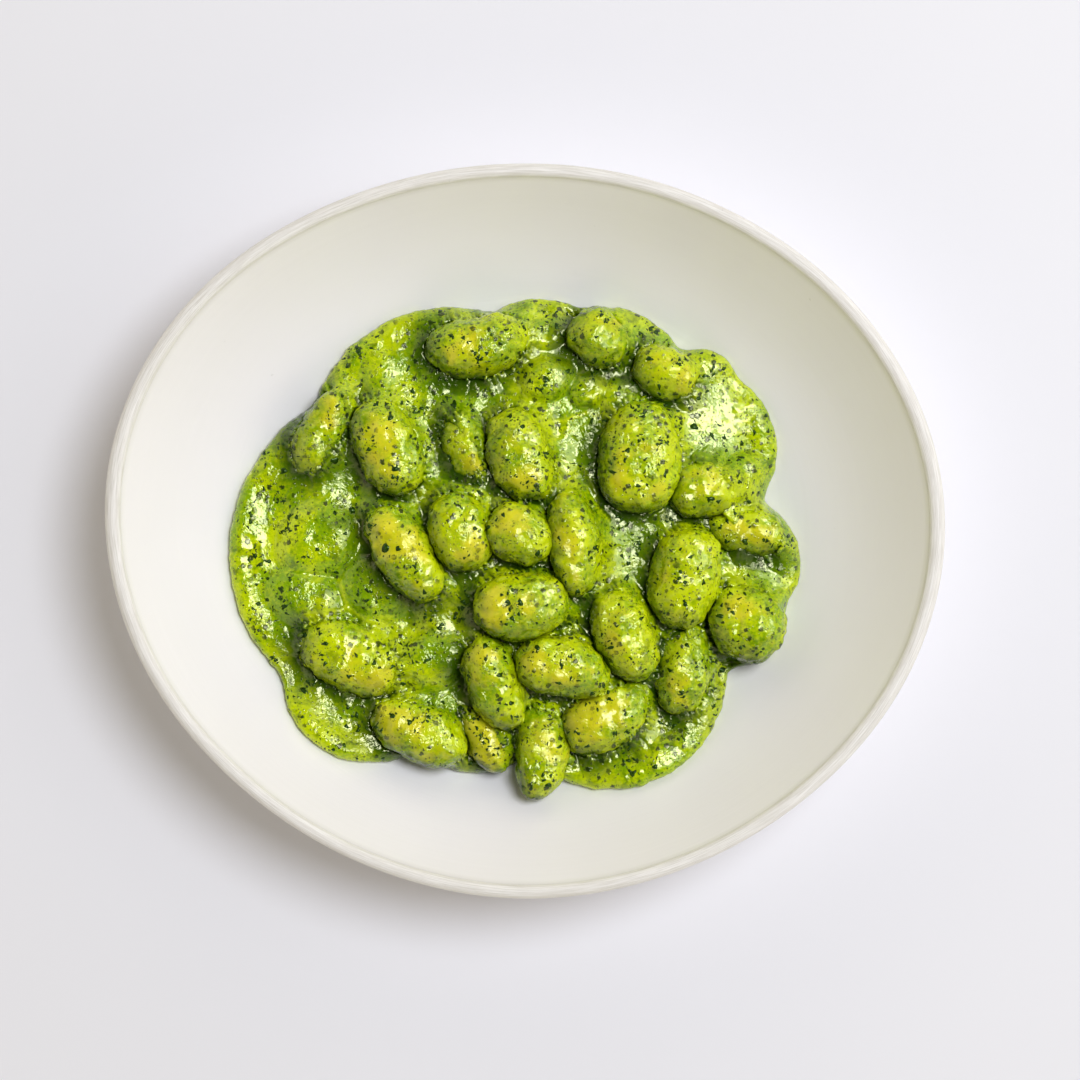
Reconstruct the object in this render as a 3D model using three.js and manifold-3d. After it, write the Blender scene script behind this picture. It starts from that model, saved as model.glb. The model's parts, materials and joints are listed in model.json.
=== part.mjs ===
// Potato gnocchi in green basil sauce, served in a hand-made oval coupe bowl.
//
// Units are millimetres and +Z is up. The origin is the middle of the bowl's footprint, on the
// surface that the foot ring stands on. +X runs along the bowl's long way.
//
// The bowl is one turned and pressed shell. The dumplings are soft solids that lie on the bowl's
// floor and dent each other, and the sauce is the solid that fills the space between them.

import * as THREE from "three";
import { mergeVertices } from "three/addons/utils/BufferGeometryUtils.js";
import Module from "manifold-3d";

const wasm = await Module();
wasm.setup();

// ---------------------------------------------------------------- driving dimensions

const bowl = {
  meanRadius: 121.5, // the rim's outer edge, averaged round the bowl
  height: 48,
  lip: 4.6, // width of the rounded rim
  lipCrown: 2.2, // how far the rim's top stands above its two edges
  floorHeight: 8, // the inside of the floor above the table
  floorThickness: 5,
  wallThickness: 4.6,
  flatShare: 0.55, // the floor is flat out to this share of the mean radius
  wallCurve: 2.2, // exponent of the wall's rise, 1 would be a straight cone
  footRadius: 62, // outer edge of the foot ring
  footWidth: 8,
  footRecess: 2.4, // depth of the hollow inside the foot ring
  footBevel: 0.9,
  sides: 48,
  insideRings: 6,
  lipRings: 4,
  outsideShares: [0.93, 0.72, 0.5, 0.28, 0.08], // rings of the outside, from the rim to the floor
};

// The rim isn't round: each row is one wave [waves round the rim, height in mm, turn in degrees].
const rimWaves = [
  [2, 8.17, -2.9],
  [3, 1.01, 32.5],
  [4, 0.91, -5.3],
];

const gap = 0.35; // clearance between neighbouring solids
const film = 0.9; // sauce left under each dumpling

// How the heap rises in its middle.
const mound = {
  lift: 7,
  radius: 68,
  middle: [-2, -6],
  slopeReach: 8, // a dumpling lies along the slope measured this far to each side of it
};

const sauce = {
  middle: [-3, -7],
  sides: 80, // most points in a ring of the surface
  innerSides: 125, // points in an inner ring, divided by the ring's share of the reach
  edgeRings: [0.985, 0.95, 0.9], // rings of the rounded edge, as shares of the reach
  innerShare: 0.83,
  innerRings: 11, // evenly spaced rings from innerShare to the middle
  undersideRings: [[0.93, 50], [0.85, 40], [0.76, 30]], // [share of the reach, points]
  edgeDepth: 6.2, // thickness just inside the rounded edge
  edgeRound: 6,
  fullDepth: 10.4, // thickness between the dumplings
  fullReach: 24, // how far in from the edge the full thickness starts
  swellingReach: 9, // how far in from the edge a swelling has its full height
  ripple: 0.5,
  rippleWidth: [9, 8],
};

// The sauce has run out into round pools: [x, y, radius].
const pools = [
  [4.5, 45.5, 29.3],
  [24, 42, 30.5],
  [56, 46.5, 12.5],
  [54, 26, 27],
  [66.5, -10, 21.9],
  [69, -29, 14.5],
  [26.5, -44, 38.6],
  [-15.5, -51, 26.7],
  [-48.5, -44.5, 29.6],
  [-39.5, -6.5, 55.3],
  [-24, 25.5, 46.6],
];

// Dumplings that the sauce has covered show only as swellings: [x, y, length, width, turn, height].
const swellings = [
  [7, 48.5, 20, 15, 10, 4.5],
  [71.5, 17, 20, 18, 0, 4.5],
  [-29.5, -41, 24, 21, 30, 5],
  [-66.5, -3, 30, 26, 50, 5],
  [-70, -21, 28, 21, -20, 4],
  [-48, -18.5, 26, 21, -35, 4.5],
  [7, 63.5, 14, 11, 0, 2.5],
  [20, 45, 15, 12, 0, 3],
  [31, 43, 17, 13, 0, 2.5],
];

// The dumplings, from the lowest in the heap to the topmost:
// [x, y, length, width, height, turn of the long way from +X, rise above its seat].
const dumplings = [
  [-13, -67, 24, 14, 12.5, -58, 0],
  [25, -59.5, 31, 20, 17, 30, 0.5],
  [4.5, -70.5, 31.5, 17, 15.5, 86, 0],
  [50, -43.5, 30, 17.5, 15.5, 85, 0],
  [70, 0, 26.5, 15, 13, -8, 0],
  [-19.5, 27, 23, 14, 13.5, -70, 0],
  [-65, 31.5, 29.5, 16, 13.5, 65, 0],
  [-34, -64, 32, 19, 16.5, -22, 0.5],
  [-55.5, -40.5, 34.5, 22.5, 17.5, -25, 1],
  [23, 61, 20, 17, 15.5, -45, 0.5],
  [44.5, 50.5, 21.5, 17, 15.5, -20, 0.5],
  [-15, 59.5, 33, 19, 17, 12, 1],
  [56, 13, 22, 18.5, 16, 5, 1],
  [-43.5, 26.5, 32, 20.5, 17.5, -66, 2.5],
  [-20.5, 0, 25.5, 21, 18, -70, 2],
  [-1.5, 24.5, 30.5, 20.5, 17.5, -77, 2.5],
  [36, 23.5, 35.5, 26, 20.5, 82, 3],
  [70, -29, 25.5, 23, 18.5, -35, 1.5],
  [50.5, -15, 32, 23, 18.5, 82, 3],
  [-2, -1, 21.5, 18.5, 17, -30, 3],
  [-38.5, -7, 34.5, 18, 17, -57, 4],
  [31.5, -33.5, 30.5, 19, 17, -72, 4],
  [15, -4.5, 34, 16, 15.5, -85, 4],
  [11, -43.5, 32.5, 19, 17, -12, 4.5],
  [-1, -23.5, 31, 21, 18, 8, 4.5],
  [-10, -48.5, 31, 17, 16, -70, 5.5],
];

const dough = {
  seed: 100,
  fullness: 2.35, // superellipsoid exponent, 2 would be a plain ellipsoid
  around: 10, // sides of the mesh, round the long way and along it
  along: 8,
  lumps: 3, // waves that make the body uneven
  lumpPitch: 2.4, // most turns of a wave across half a body, in radians
  uneven: 0.03, // height of each wave, as a share of the radius
  taper: 0.1, // how much one end may be thinner than the other
  bend: 0.06, // how far the ends may bow sideways, as a share of the length
  bendMiddle: 0.4, // keeps the bowed body about where a straight one is
};

const flakes = {
  seed: 11,
  places: 84, // places tried, wound outwards from the sauce's middle like seeds in a flower head
  pitch: 9.8, // a place's distance from the middle is this times the root of its number
  turn: 137.508, // degrees from one place to the next
  radius: [1.1, 2],
  narrowest: 0.55, // width of the narrowest flakes, as a share of their length
  ragged: [0.75, 1.15], // how far the corners may lie in and out
  thickness: 1.1,
  proud: 0.45, // how far a flake's face stands above what it lies on
  steepest: 0.8, // least upward part of the surface's direction under a flake
  corners: 5,
  margin: 2.8, // clear surface that each one needs round its middle
  marginChecks: 8,
  marginFall: 2, // most that the surface may rise or fall inside the margin
};

// ---------------------------------------------------------------- materials

function finish(color, roughness) {
  return new THREE.MeshStandardMaterial({ color, roughness, metalness: 0 });
}

const glaze = () => finish("#f0eee9", 0.3);
const potatoDough = () => finish("#c3c437", 0.35);
const basilSauce = () => finish("#93a81c", 0.25);

// ---------------------------------------------------------------- small helpers

// A seeded generator, so that every build gives the same model.
function randomFrom(seed) {
  let state = seed >>> 0;
  return () => {
    state = (state + 0x6d2b79f5) >>> 0;
    let t = state;
    t = Math.imul(t ^ (t >>> 15), t | 1);
    t ^= t + Math.imul(t ^ (t >>> 7), t | 61);
    return ((t ^ (t >>> 14)) >>> 0) / 4294967296;
  };
}

const between = (random, low, high) => low + (high - low) * random();
const clamp01 = (value) => Math.min(1, Math.max(0, value));
const radians = THREE.MathUtils.degToRad;

function smoothStep(value) {
  const t = clamp01(value);
  return t * t * (3 - 2 * t);
}

function named(name, geometry, material) {
  const mesh = new THREE.Mesh(geometry, material);
  mesh.name = name;
  return mesh;
}

function geometryFrom(points, triangles) {
  const geometry = new THREE.BufferGeometry();
  geometry.setAttribute("position", new THREE.Float32BufferAttribute(points.flat(), 3));
  geometry.setIndex(triangles.flat());
  return geometry;
}

function solidFrom(geometry) {
  const bare = geometry.clone();
  bare.deleteAttribute("normal");
  bare.deleteAttribute("uv");
  const merged = mergeVertices(bare, 1e-4);
  const vertProperties = new Float32Array(merged.attributes.position.array);
  const triVerts = new Uint32Array(merged.index.array);
  return new wasm.Manifold(new wasm.Mesh({ numProp: 3, vertProperties, triVerts }));
}

function geometryOf(solid) {
  const mesh = solid.getMesh();
  const geometry = new THREE.BufferGeometry();
  const positions = new Float32Array(mesh.numVert * 3);
  for (let i = 0; i < mesh.numVert; i += 1) {
    for (let axis = 0; axis < 3; axis += 1) {
      positions[3 * i + axis] = mesh.vertProperties[mesh.numProp * i + axis];
    }
  }
  geometry.setAttribute("position", new THREE.BufferAttribute(positions, 3));
  geometry.setIndex(Array.from(mesh.triVerts));
  return geometry;
}

function largestPiece(solid) {
  const pieces = solid.decompose();
  return pieces.reduce((best, piece) => (piece.volume() > best.volume() ? piece : best));
}

// Joins two closed rings of different lengths with triangles. Each ring runs anticlockwise and
// the outer one has its first point beside the inner one's first.
function stitch(outerStart, outerCount, innerStart, innerCount) {
  const triangles = [];
  let i = 0;
  let j = 0;
  while (i < outerCount || j < innerCount) {
    const outer = outerStart + (i % outerCount);
    const inner = innerStart + (j % innerCount);
    const outerNext = (i + 1) / outerCount;
    const innerNext = (j + 1) / innerCount;
    if (j >= innerCount || (i < outerCount && outerNext <= innerNext)) {
      triangles.push([outer, outerStart + ((i + 1) % outerCount), inner]);
      i += 1;
    } else {
      triangles.push([outer, innerStart + ((j + 1) % innerCount), inner]);
      j += 1;
    }
  }
  return triangles;
}

// ---------------------------------------------------------------- bowl

function rimRadius(angle) {
  return rimWaves.reduce(
    (sum, [waves, height, turn]) => sum + height * Math.cos(waves * (angle - radians(turn))),
    bowl.meanRadius,
  );
}

// The rim's own middle, set so that its box is centred on the origin.
function rimMiddle() {
  const rim = new THREE.Box2();
  for (let i = 0; i < bowl.sides; i += 1) {
    const angle = (2 * Math.PI * i) / bowl.sides;
    const radius = rimRadius(angle);
    rim.expandByPoint(new THREE.Vector2(radius * Math.cos(angle), radius * Math.sin(angle)));
  }
  return rim.getCenter(new THREE.Vector2()).negate();
}

const middle = rimMiddle();
const flatRadius = bowl.flatShare * bowl.meanRadius;
const lipInside = bowl.meanRadius - bowl.lip;
const lipEdgeHeight = bowl.height - bowl.lipCrown;

// Height of the bowl's inside at a mean radius.
function insideHeight(meanRadius) {
  const share = Math.max(0, (meanRadius - flatRadius) / (lipInside - flatRadius));
  return bowl.floorHeight + (lipEdgeHeight - bowl.floorHeight) * share ** bowl.wallCurve;
}

// Each of the next four functions gives one stretch of the bowl's section, as rows of
// [mean radius, height]. Together they run from the floor over the rim to the foot.
function insideWall() {
  const points = [];
  for (let i = 0; i < bowl.insideRings; i += 1) {
    const radius = flatRadius + (lipInside - flatRadius) * (i / (bowl.insideRings - 1));
    points.push([radius, insideHeight(radius)]);
  }
  return points;
}

function lipArc() {
  const half = bowl.lip / 2;
  const points = [];
  for (let i = 1; i <= bowl.lipRings; i += 1) {
    const turn = Math.PI * (1 - i / bowl.lipRings);
    const radius = lipInside + half * (1 + Math.cos(turn));
    points.push([radius, lipEdgeHeight + bowl.lipCrown * Math.sin(turn)]);
  }
  return points;
}

// The outside follows the inside at the wall's thickness, measured square to the inside.
function outsideWall() {
  const step = 0.5;
  return bowl.outsideShares.map((share) => {
    const radius = flatRadius + (lipInside - flatRadius) * share;
    const slope = (insideHeight(radius + step) - insideHeight(radius - step)) / (2 * step);
    const length = Math.hypot(1, slope);
    const thickness = THREE.MathUtils.lerp(bowl.floorThickness, bowl.wallThickness, share);
    return [radius + (thickness * slope) / length, insideHeight(radius) - thickness / length];
  });
}

function footRing() {
  const bevel = bowl.footBevel;
  const inner = bowl.footRadius - bowl.footWidth;
  return [
    [bowl.footRadius + bevel, bowl.floorHeight - bowl.floorThickness],
    [bowl.footRadius, bevel],
    [bowl.footRadius - bevel, 0],
    [inner, 0],
    [inner - 2 * bevel, bowl.footRecess],
  ];
}

function bowlGeometry() {
  const section = [...insideWall(), ...lipArc(), ...outsideWall(), ...footRing()];
  const points = [[middle.x, middle.y, bowl.floorHeight]];
  for (const [meanRadius, height] of section) {
    for (let i = 0; i < bowl.sides; i += 1) {
      const angle = (2 * Math.PI * i) / bowl.sides;
      const radius = (rimRadius(angle) * meanRadius) / bowl.meanRadius;
      const x = middle.x + radius * Math.cos(angle);
      const y = middle.y + radius * Math.sin(angle);
      points.push([x, y, height]);
    }
  }
  points.push([middle.x, middle.y, bowl.footRecess]);
  const triangles = [];
  const last = points.length - 1;
  const lastRing = last - bowl.sides;
  for (let i = 0; i < bowl.sides; i += 1) {
    const next = (i + 1) % bowl.sides;
    triangles.push([0, 1 + i, 1 + next]);
    triangles.push([last, lastRing + next, lastRing + i]);
    for (let ring = 0; ring < section.length - 1; ring += 1) {
      const a = 1 + ring * bowl.sides;
      const b = a + bowl.sides;
      triangles.push([a + i, b + i, b + next]);
      triangles.push([a + i, b + next, a + next]);
    }
  }
  return geometryFrom(points, triangles);
}

const bowlMesh = named("bowl", bowlGeometry(), glaze());
const down = new THREE.Vector3(0, 0, -1);
const caster = new THREE.Raycaster();

// The first surface of some meshes that a plumb line from above meets.
function hitFromAbove(meshes, x, y) {
  caster.set(new THREE.Vector3(x, y, 2 * bowl.height), down);
  return caster.intersectObjects(meshes, false)[0];
}

// Height of the bowl's inside, as built, at a place in the bowl.
const bowlFloor = (x, y) => hitFromAbove([bowlMesh], x, y).point.z;

// ---------------------------------------------------------------- dumplings

// The surface that the heap rests on: the bowl's floor, raised in the middle of the heap.
function seatHeight(x, y) {
  const away = Math.hypot(x - mound.middle[0], y - mound.middle[1]) / mound.radius;
  return bowlFloor(x, y) + mound.lift * (1 - smoothStep(away));
}

function seatNormal(x, y) {
  const reach = mound.slopeReach;
  const slopeX = (seatHeight(x + reach, y) - seatHeight(x - reach, y)) / (2 * reach);
  const slopeY = (seatHeight(x, y + reach) - seatHeight(x, y - reach)) / (2 * reach);
  return new THREE.Vector3(-slopeX, -slopeY, 1).normalize();
}

// A rounded, slightly lumpy body with its long way along X. "grow" is added to each half size.
function dumplingGeometry(index, grow) {
  const [, , length, width, height] = dumplings[index];
  const random = randomFrom(dough.seed + index);
  const pitch = () => between(random, -dough.lumpPitch, dough.lumpPitch);
  const lumps = Array.from({ length: dough.lumps }, () => ({
    direction: new THREE.Vector3(pitch(), pitch(), pitch()),
    phase: between(random, 0, 2 * Math.PI),
  }));
  const taper = between(random, -dough.taper, dough.taper);
  const bend = between(random, -dough.bend, dough.bend) * length;
  const halves = new THREE.Vector3(length, width, height).multiplyScalar(0.5).addScalar(grow);

  const geometry = new THREE.SphereGeometry(1, dough.around, dough.along);
  geometry.rotateZ(-Math.PI / 2);
  geometry.rotateX(random() * Math.PI);
  const places = geometry.attributes.position;
  const point = new THREE.Vector3();
  for (let i = 0; i < places.count; i += 1) {
    point.fromBufferAttribute(places, i);
    const sum = point.toArray().reduce((total, part) => total + Math.abs(part) ** dough.fullness, 0);
    point.multiplyScalar(sum ** (-1 / dough.fullness));
    let thin = 1 + taper * point.x;
    for (const { direction, phase } of lumps) {
      thin += dough.uneven * Math.sin(point.dot(direction) + phase);
    }
    const bow = bend * (point.x * point.x - dough.bendMiddle);
    point.multiply(halves);
    places.setXYZ(i, point.x, point.y * thin + bow, point.z * thin);
  }
  return geometry;
}

// Where a dumpling lies: turned along its seat and lowered until it almost touches.
function dumplingPlacement(index) {
  const [x, y, , , , turn, rise] = dumplings[index];
  const up = seatNormal(x, y);
  const along = new THREE.Vector3(Math.cos(radians(turn)), Math.sin(radians(turn)), 0);
  along.addScaledVector(up, -along.dot(up)).normalize();
  const across = new THREE.Vector3().crossVectors(up, along);
  const placement = new THREE.Matrix4().makeBasis(along, across, up).setPosition(x, y, 0);

  const places = dumplingGeometry(index, 0).applyMatrix4(placement).attributes.position;
  let lift = -Infinity;
  for (let i = 0; i < places.count; i += 1) {
    const seat = seatHeight(places.getX(i), places.getY(i)) + film + gap;
    lift = Math.max(lift, seat - places.getZ(i));
  }
  return placement.setPosition(x, y, lift + rise);
}

const heap = dumplings.map((row, index) => {
  const placement = dumplingPlacement(index);
  return {
    name: `gnocco_${String(index + 1).padStart(2, "0")}`,
    placement,
    solid: solidFrom(dumplingGeometry(index, 0).applyMatrix4(placement)),
    grown: solidFrom(dumplingGeometry(index, gap).applyMatrix4(placement)),
  };
});

// Soft dough gives way: a lower dumpling is dented by those that lie on it.
heap.forEach((lower, index) => {
  for (const upper of heap.slice(index + 1)) {
    lower.solid = lower.solid.subtract(upper.grown);
  }
  lower.solid = largestPiece(lower.solid);
});

// ---------------------------------------------------------------- sauce

// How far the pools reach from the sauce's middle in one direction.
function sauceReach(angle) {
  const along = new THREE.Vector2(Math.cos(angle), Math.sin(angle));
  let reach = 0;
  for (const [x, y, radius] of pools) {
    const to = new THREE.Vector2(x - sauce.middle[0], y - sauce.middle[1]);
    const ahead = to.dot(along);
    const spread = ahead * ahead - to.lengthSq() + radius * radius;
    if (spread > 0) {
      reach = Math.max(reach, ahead + Math.sqrt(spread));
    }
  }
  return reach;
}

// A covered dumpling's swelling: a soft dome that fades out at its edge.
function swellingHeight(x, y) {
  let height = 0;
  for (const [sx, sy, length, width, turn, rise] of swellings) {
    const c = Math.cos(radians(turn));
    const s = Math.sin(radians(turn));
    const u = ((x - sx) * c + (y - sy) * s) / (length / 2);
    const v = ((y - sy) * c - (x - sx) * s) / (width / 2);
    const away = u * u + v * v;
    if (away < 1) {
      height = Math.max(height, rise * (1 - away * away) ** 1.5);
    }
  }
  return height;
}

function sauceDepth(x, y, fromEdge) {
  const edge = clamp01(fromEdge / sauce.edgeRound);
  const rounded = sauce.edgeDepth * Math.sqrt(1 - (1 - edge) ** 2);
  const inner = (sauce.fullDepth - sauce.edgeDepth) * smoothStep(fromEdge / sauce.fullReach);
  const [acrossX, acrossY] = sauce.rippleWidth;
  const ripple = sauce.ripple * Math.sin(x / acrossX) * Math.cos(y / acrossY) * edge;
  const swelling = swellingHeight(x, y) * smoothStep(fromEdge / sauce.swellingReach);
  return rounded + inner + ripple + swelling;
}

// The sauce's surface is a set of rings that follow its outline, closed below by fewer rings.
function sauceGeometry() {
  const points = [];
  const triangles = [];
  const [cx, cy] = sauce.middle;

  function ring(share, count, heightAt) {
    const start = points.length;
    for (let i = 0; i < count; i += 1) {
      const angle = (2 * Math.PI * i) / count;
      const reach = sauceReach(angle);
      const x = cx + share * reach * Math.cos(angle);
      const y = cy + share * reach * Math.sin(angle);
      points.push([x, y, heightAt(x, y, (1 - share) * reach)]);
    }
    return { start, count };
  }

  const underside = (x, y) => bowlFloor(x, y) + gap;
  const surface = (x, y, fromEdge) => seatHeight(x, y) + gap + sauceDepth(x, y, fromEdge);
  const innerRings = Array.from(
    { length: sauce.innerRings },
    (_, i) => sauce.innerShare * (1 - i / sauce.innerRings),
  );
  const edge = ring(1, sauce.sides, underside);

  let outer = edge;
  for (const share of sauce.edgeRings.concat(innerRings)) {
    const count = Math.min(sauce.sides, Math.round(share * sauce.innerSides));
    const inner = ring(share, count, surface);
    triangles.push(...stitch(outer.start, outer.count, inner.start, inner.count));
    outer = inner;
  }
  points.push([cx, cy, surface(cx, cy, sauceReach(0))]);
  for (let i = 0; i < outer.count; i += 1) {
    triangles.push([outer.start + i, outer.start + ((i + 1) % outer.count), points.length - 1]);
  }

  let above = edge;
  for (const [share, count] of sauce.undersideRings) {
    const below = ring(share, count, underside);
    const joined = stitch(above.start, above.count, below.start, below.count);
    triangles.push(...joined.map(([a, b, c]) => [a, c, b]));
    above = below;
  }
  points.push([cx, cy, underside(cx, cy)]);
  for (let i = 0; i < above.count; i += 1) {
    triangles.push([above.start + ((i + 1) % above.count), above.start + i, points.length - 1]);
  }
  return geometryFrom(points, triangles);
}

let sauceSolid = solidFrom(sauceGeometry());
for (const { grown } of heap) {
  sauceSolid = sauceSolid.subtract(grown);
}
sauceSolid = largestPiece(sauceSolid);

// ---------------------------------------------------------------- basil flakes

// A thin, uneven chip lying flat on a surface whose outward direction is "normal".
function flakeGeometry(place, normal, radius, random) {
  const frame = new THREE.Quaternion().setFromUnitVectors(new THREE.Vector3(0, 0, 1), normal);
  const turn = random() * Math.PI;
  const stretch = between(random, flakes.narrowest, 1);
  const points = [];
  for (const height of [flakes.proud, flakes.proud - flakes.thickness]) {
    for (let i = 0; i < flakes.corners; i += 1) {
      const angle = (2 * Math.PI * i) / flakes.corners;
      const spread = radius * between(random, ...flakes.ragged);
      const corner = new THREE.Vector3(
        spread * Math.cos(angle),
        spread * stretch * Math.sin(angle),
        height,
      );
      corner.applyAxisAngle(new THREE.Vector3(0, 0, 1), turn);
      corner.applyQuaternion(frame).add(place);
      points.push(corner.toArray());
    }
  }
  const triangles = [];
  const n = flakes.corners;
  for (let i = 0; i < n; i += 1) {
    const next = (i + 1) % n;
    triangles.push([i, n + i, n + next], [i, n + next, next]);
    if (i > 0 && i < n - 1) {
      triangles.push([0, i, i + 1], [n, n + i + 1, n + i]);
    }
  }
  return geometryFrom(points, triangles);
}

// Whether one mesh alone lies under a flake, and fairly level.
function isLevel(targets, hit, x, y) {
  for (let i = 0; i < flakes.marginChecks; i += 1) {
    const angle = (2 * Math.PI * i) / flakes.marginChecks;
    const besideX = x + flakes.margin * Math.cos(angle);
    const besideY = y + flakes.margin * Math.sin(angle);
    const beside = hitFromAbove(targets, besideX, besideY);
    const fall = Math.abs(beside.point.z - hit.point.z);
    if (beside.object !== hit.object || fall > flakes.marginFall) {
      return false;
    }
  }
  return true;
}

// Strews flakes over the food. Each is fused to the solid that lies under it.
function strewFlakes(hosts) {
  const random = randomFrom(flakes.seed);
  const targets = hosts.map((host) => new THREE.Mesh(geometryOf(host.solid), basilSauce()));
  const surfaces = [...targets, bowlMesh];
  for (let i = 0; i < flakes.places; i += 1) {
    const away = flakes.pitch * Math.sqrt(i + 0.5);
    const angle = i * radians(flakes.turn);
    const x = sauce.middle[0] + away * Math.cos(angle);
    const y = sauce.middle[1] + away * Math.sin(angle);
    const radius = between(random, ...flakes.radius);
    const hit = hitFromAbove(surfaces, x, y);
    const onFood = hit && hit.object !== bowlMesh;
    if (onFood && hit.face.normal.z > flakes.steepest && isLevel(surfaces, hit, x, y)) {
      const host = hosts[targets.indexOf(hit.object)];
      const flake = flakeGeometry(hit.point, hit.face.normal, radius, random);
      host.solid = host.solid.add(solidFrom(flake));
    }
  }
}

const sauceHost = { solid: sauceSolid };
strewFlakes([sauceHost, ...heap]);

// ---------------------------------------------------------------- assembly

const food = new THREE.Group();
food.add(named("pesto_sauce", geometryOf(largestPiece(sauceHost.solid)), basilSauce()));
for (const { name, placement, solid } of heap) {
  const geometry = geometryOf(solid).applyMatrix4(placement.clone().invert());
  const mesh = named(name, geometry, potatoDough());
  placement.decompose(mesh.position, mesh.quaternion, mesh.scale);
  food.add(mesh);
}

const dish = new THREE.Group();
dish.add(bowlMesh, food);

export default dish;
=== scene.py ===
"""Potato gnocchi in green basil sauce, served in a hand-made oval coupe bowl.

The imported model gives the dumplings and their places. This file dresses it: a turned stoneware
bowl with a satin glaze, plump dumplings under a broken film of sauce, the sauce that fills the
space between them, and the scraps of basil leaf that are strewn through it.

Lengths in the working code are millimetres, and become metres when a mesh is made.
"""

import json
import math
import random

import bpy
import numpy as np
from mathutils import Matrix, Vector, noise
from mathutils.bvhtree import BVHTree
from mathutils.kdtree import KDTree

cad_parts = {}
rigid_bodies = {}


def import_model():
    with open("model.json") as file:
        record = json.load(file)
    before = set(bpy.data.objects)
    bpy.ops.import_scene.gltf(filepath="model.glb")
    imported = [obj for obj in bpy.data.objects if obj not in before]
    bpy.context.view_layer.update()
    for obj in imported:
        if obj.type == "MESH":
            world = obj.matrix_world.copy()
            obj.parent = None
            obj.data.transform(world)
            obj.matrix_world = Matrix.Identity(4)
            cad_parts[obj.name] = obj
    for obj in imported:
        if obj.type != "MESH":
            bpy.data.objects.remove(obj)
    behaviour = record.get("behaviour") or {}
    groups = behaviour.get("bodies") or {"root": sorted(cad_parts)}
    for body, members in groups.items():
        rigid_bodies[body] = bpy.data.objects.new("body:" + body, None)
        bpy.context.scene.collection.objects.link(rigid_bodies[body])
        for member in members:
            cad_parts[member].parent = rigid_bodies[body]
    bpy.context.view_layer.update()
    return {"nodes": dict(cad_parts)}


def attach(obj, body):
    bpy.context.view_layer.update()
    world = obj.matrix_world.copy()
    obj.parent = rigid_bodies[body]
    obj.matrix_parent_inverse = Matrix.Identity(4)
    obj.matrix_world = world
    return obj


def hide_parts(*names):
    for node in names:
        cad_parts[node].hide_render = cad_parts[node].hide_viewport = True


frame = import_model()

bl_info = {
    "name": "Gnocchi in Basil Sauce",
    "version": (1, 0, 0),
    "blender": (4, 5, 0),
    "location": "3D View > Sidebar > Gnocchi",
    "description": "Dresses a bowl of potato gnocchi in basil sauce",
    "category": "Object",
}

MM = 0.001
BODY = "root"
NODES = frame["nodes"]
DUMPLINGS = sorted(name for name in NODES if name.startswith("gnocco_"))

# ---------------- shape shared with the solids

# The rim isn't round: each row is one wave (waves round the rim, height, turn in degrees).
RIM_WAVES = ((2, 8.17, -2.9), (3, 1.01, 32.5), (4, 0.91, -5.3))
MEAN_RADIUS = 121.5
BOWL_HEIGHT = 48.0
LIP = 4.6
LIP_CROWN = 2.2
FLOOR_HEIGHT = 8.0
FLAT_SHARE = 0.55
WALL_CURVE = 2.2
FLAT_RADIUS = FLAT_SHARE * MEAN_RADIUS
LIP_INSIDE = MEAN_RADIUS - LIP
LIP_EDGE_HEIGHT = BOWL_HEIGHT - LIP_CROWN
RIM_SIDES = 48  # the solid bowl's sides, which set where its middle is
WALL_AT_FLOOR = 5.0
WALL_AT_RIM = 4.6
FOOT_RADIUS = 62.0
FOOT_WIDTH = 8.0
FOOT_RECESS = 2.4
FOOT_BEVEL = 0.9

# The sauce has run out into round pools: (x, y, radius).
POOLS = (
    (4.5, 45.5, 29.3),
    (24, 42, 30.5),
    (56, 46.5, 12.5),
    (54, 26, 27),
    (66.5, -10, 21.9),
    (69, -29, 14.5),
    (26.5, -44, 38.6),
    (-15.5, -51, 26.7),
    (-48.5, -44.5, 29.6),
    (-39.5, -6.5, 55.3),
    (-24, 25.5, 46.6),
)

# Dumplings that the sauce has covered show as swellings: (x, y, length, width, turn, height).
SWELLINGS = (
    (7, 48.5, 20, 15, 10, 4.5),
    (71.5, 17, 20, 18, 0, 4.5),
    (-29.5, -41, 24, 21, 30, 5),
    (-66.5, -3, 30, 26, 50, 5),
    (-70, -21, 28, 21, -20, 4),
    (-48, -18.5, 26, 21, -35, 4.5),
    (7, 63.5, 14, 11, 0, 2.5),
    (20, 45, 15, 12, 0, 3),
    (31, 43, 17, 13, 0, 2.5),
)

SAUCE_MIDDLE = (-3.0, -7.0)
GAP = 0.35  # between the glaze and the sauce
EDGE_DEPTH = 6.2
EDGE_ROUND = 6.0
FULL_DEPTH = 10.4
FULL_REACH = 24.0
SWELLING_REACH = 9.0
RIPPLE = 0.5
RIPPLE_WIDTH = (9.0, 8.0)

# The food is heaped: its ground rises this much in the middle.
MOUND_LIFT = 7.0
MOUND_RADIUS = 68.0
MOUND_MIDDLE = (-2.0, -6.0)

# Where the large leaf scraps lie: wound outwards like the seeds of a flower head.
SCRAP_PLACES = 84
SCRAP_PITCH = 9.8
SCRAP_TURN = 137.508

# ---------------- shape helpers


def smooth_step(value):
    """Eases from 0 to 1 as the value does."""
    t = np.clip(value, 0.0, 1.0)
    return t * t * (3.0 - 2.0 * t)


def bell(away, width):
    """A soft hump: 1 at no distance, and almost nothing at twice the width."""
    return np.exp(-((away / width) ** 2))


def turns_of(number):
    """Directions that are spread evenly over one turn."""
    return np.arange(number) * 2 * math.pi / number


def rim_radius(angle):
    """Distance from the bowl's middle to the rim's outer edge."""
    radius = np.full_like(angle, MEAN_RADIUS, dtype=float)
    for waves, height, turn in RIM_WAVES:
        radius += height * np.cos(waves * (angle - math.radians(turn)))
    return radius


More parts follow.
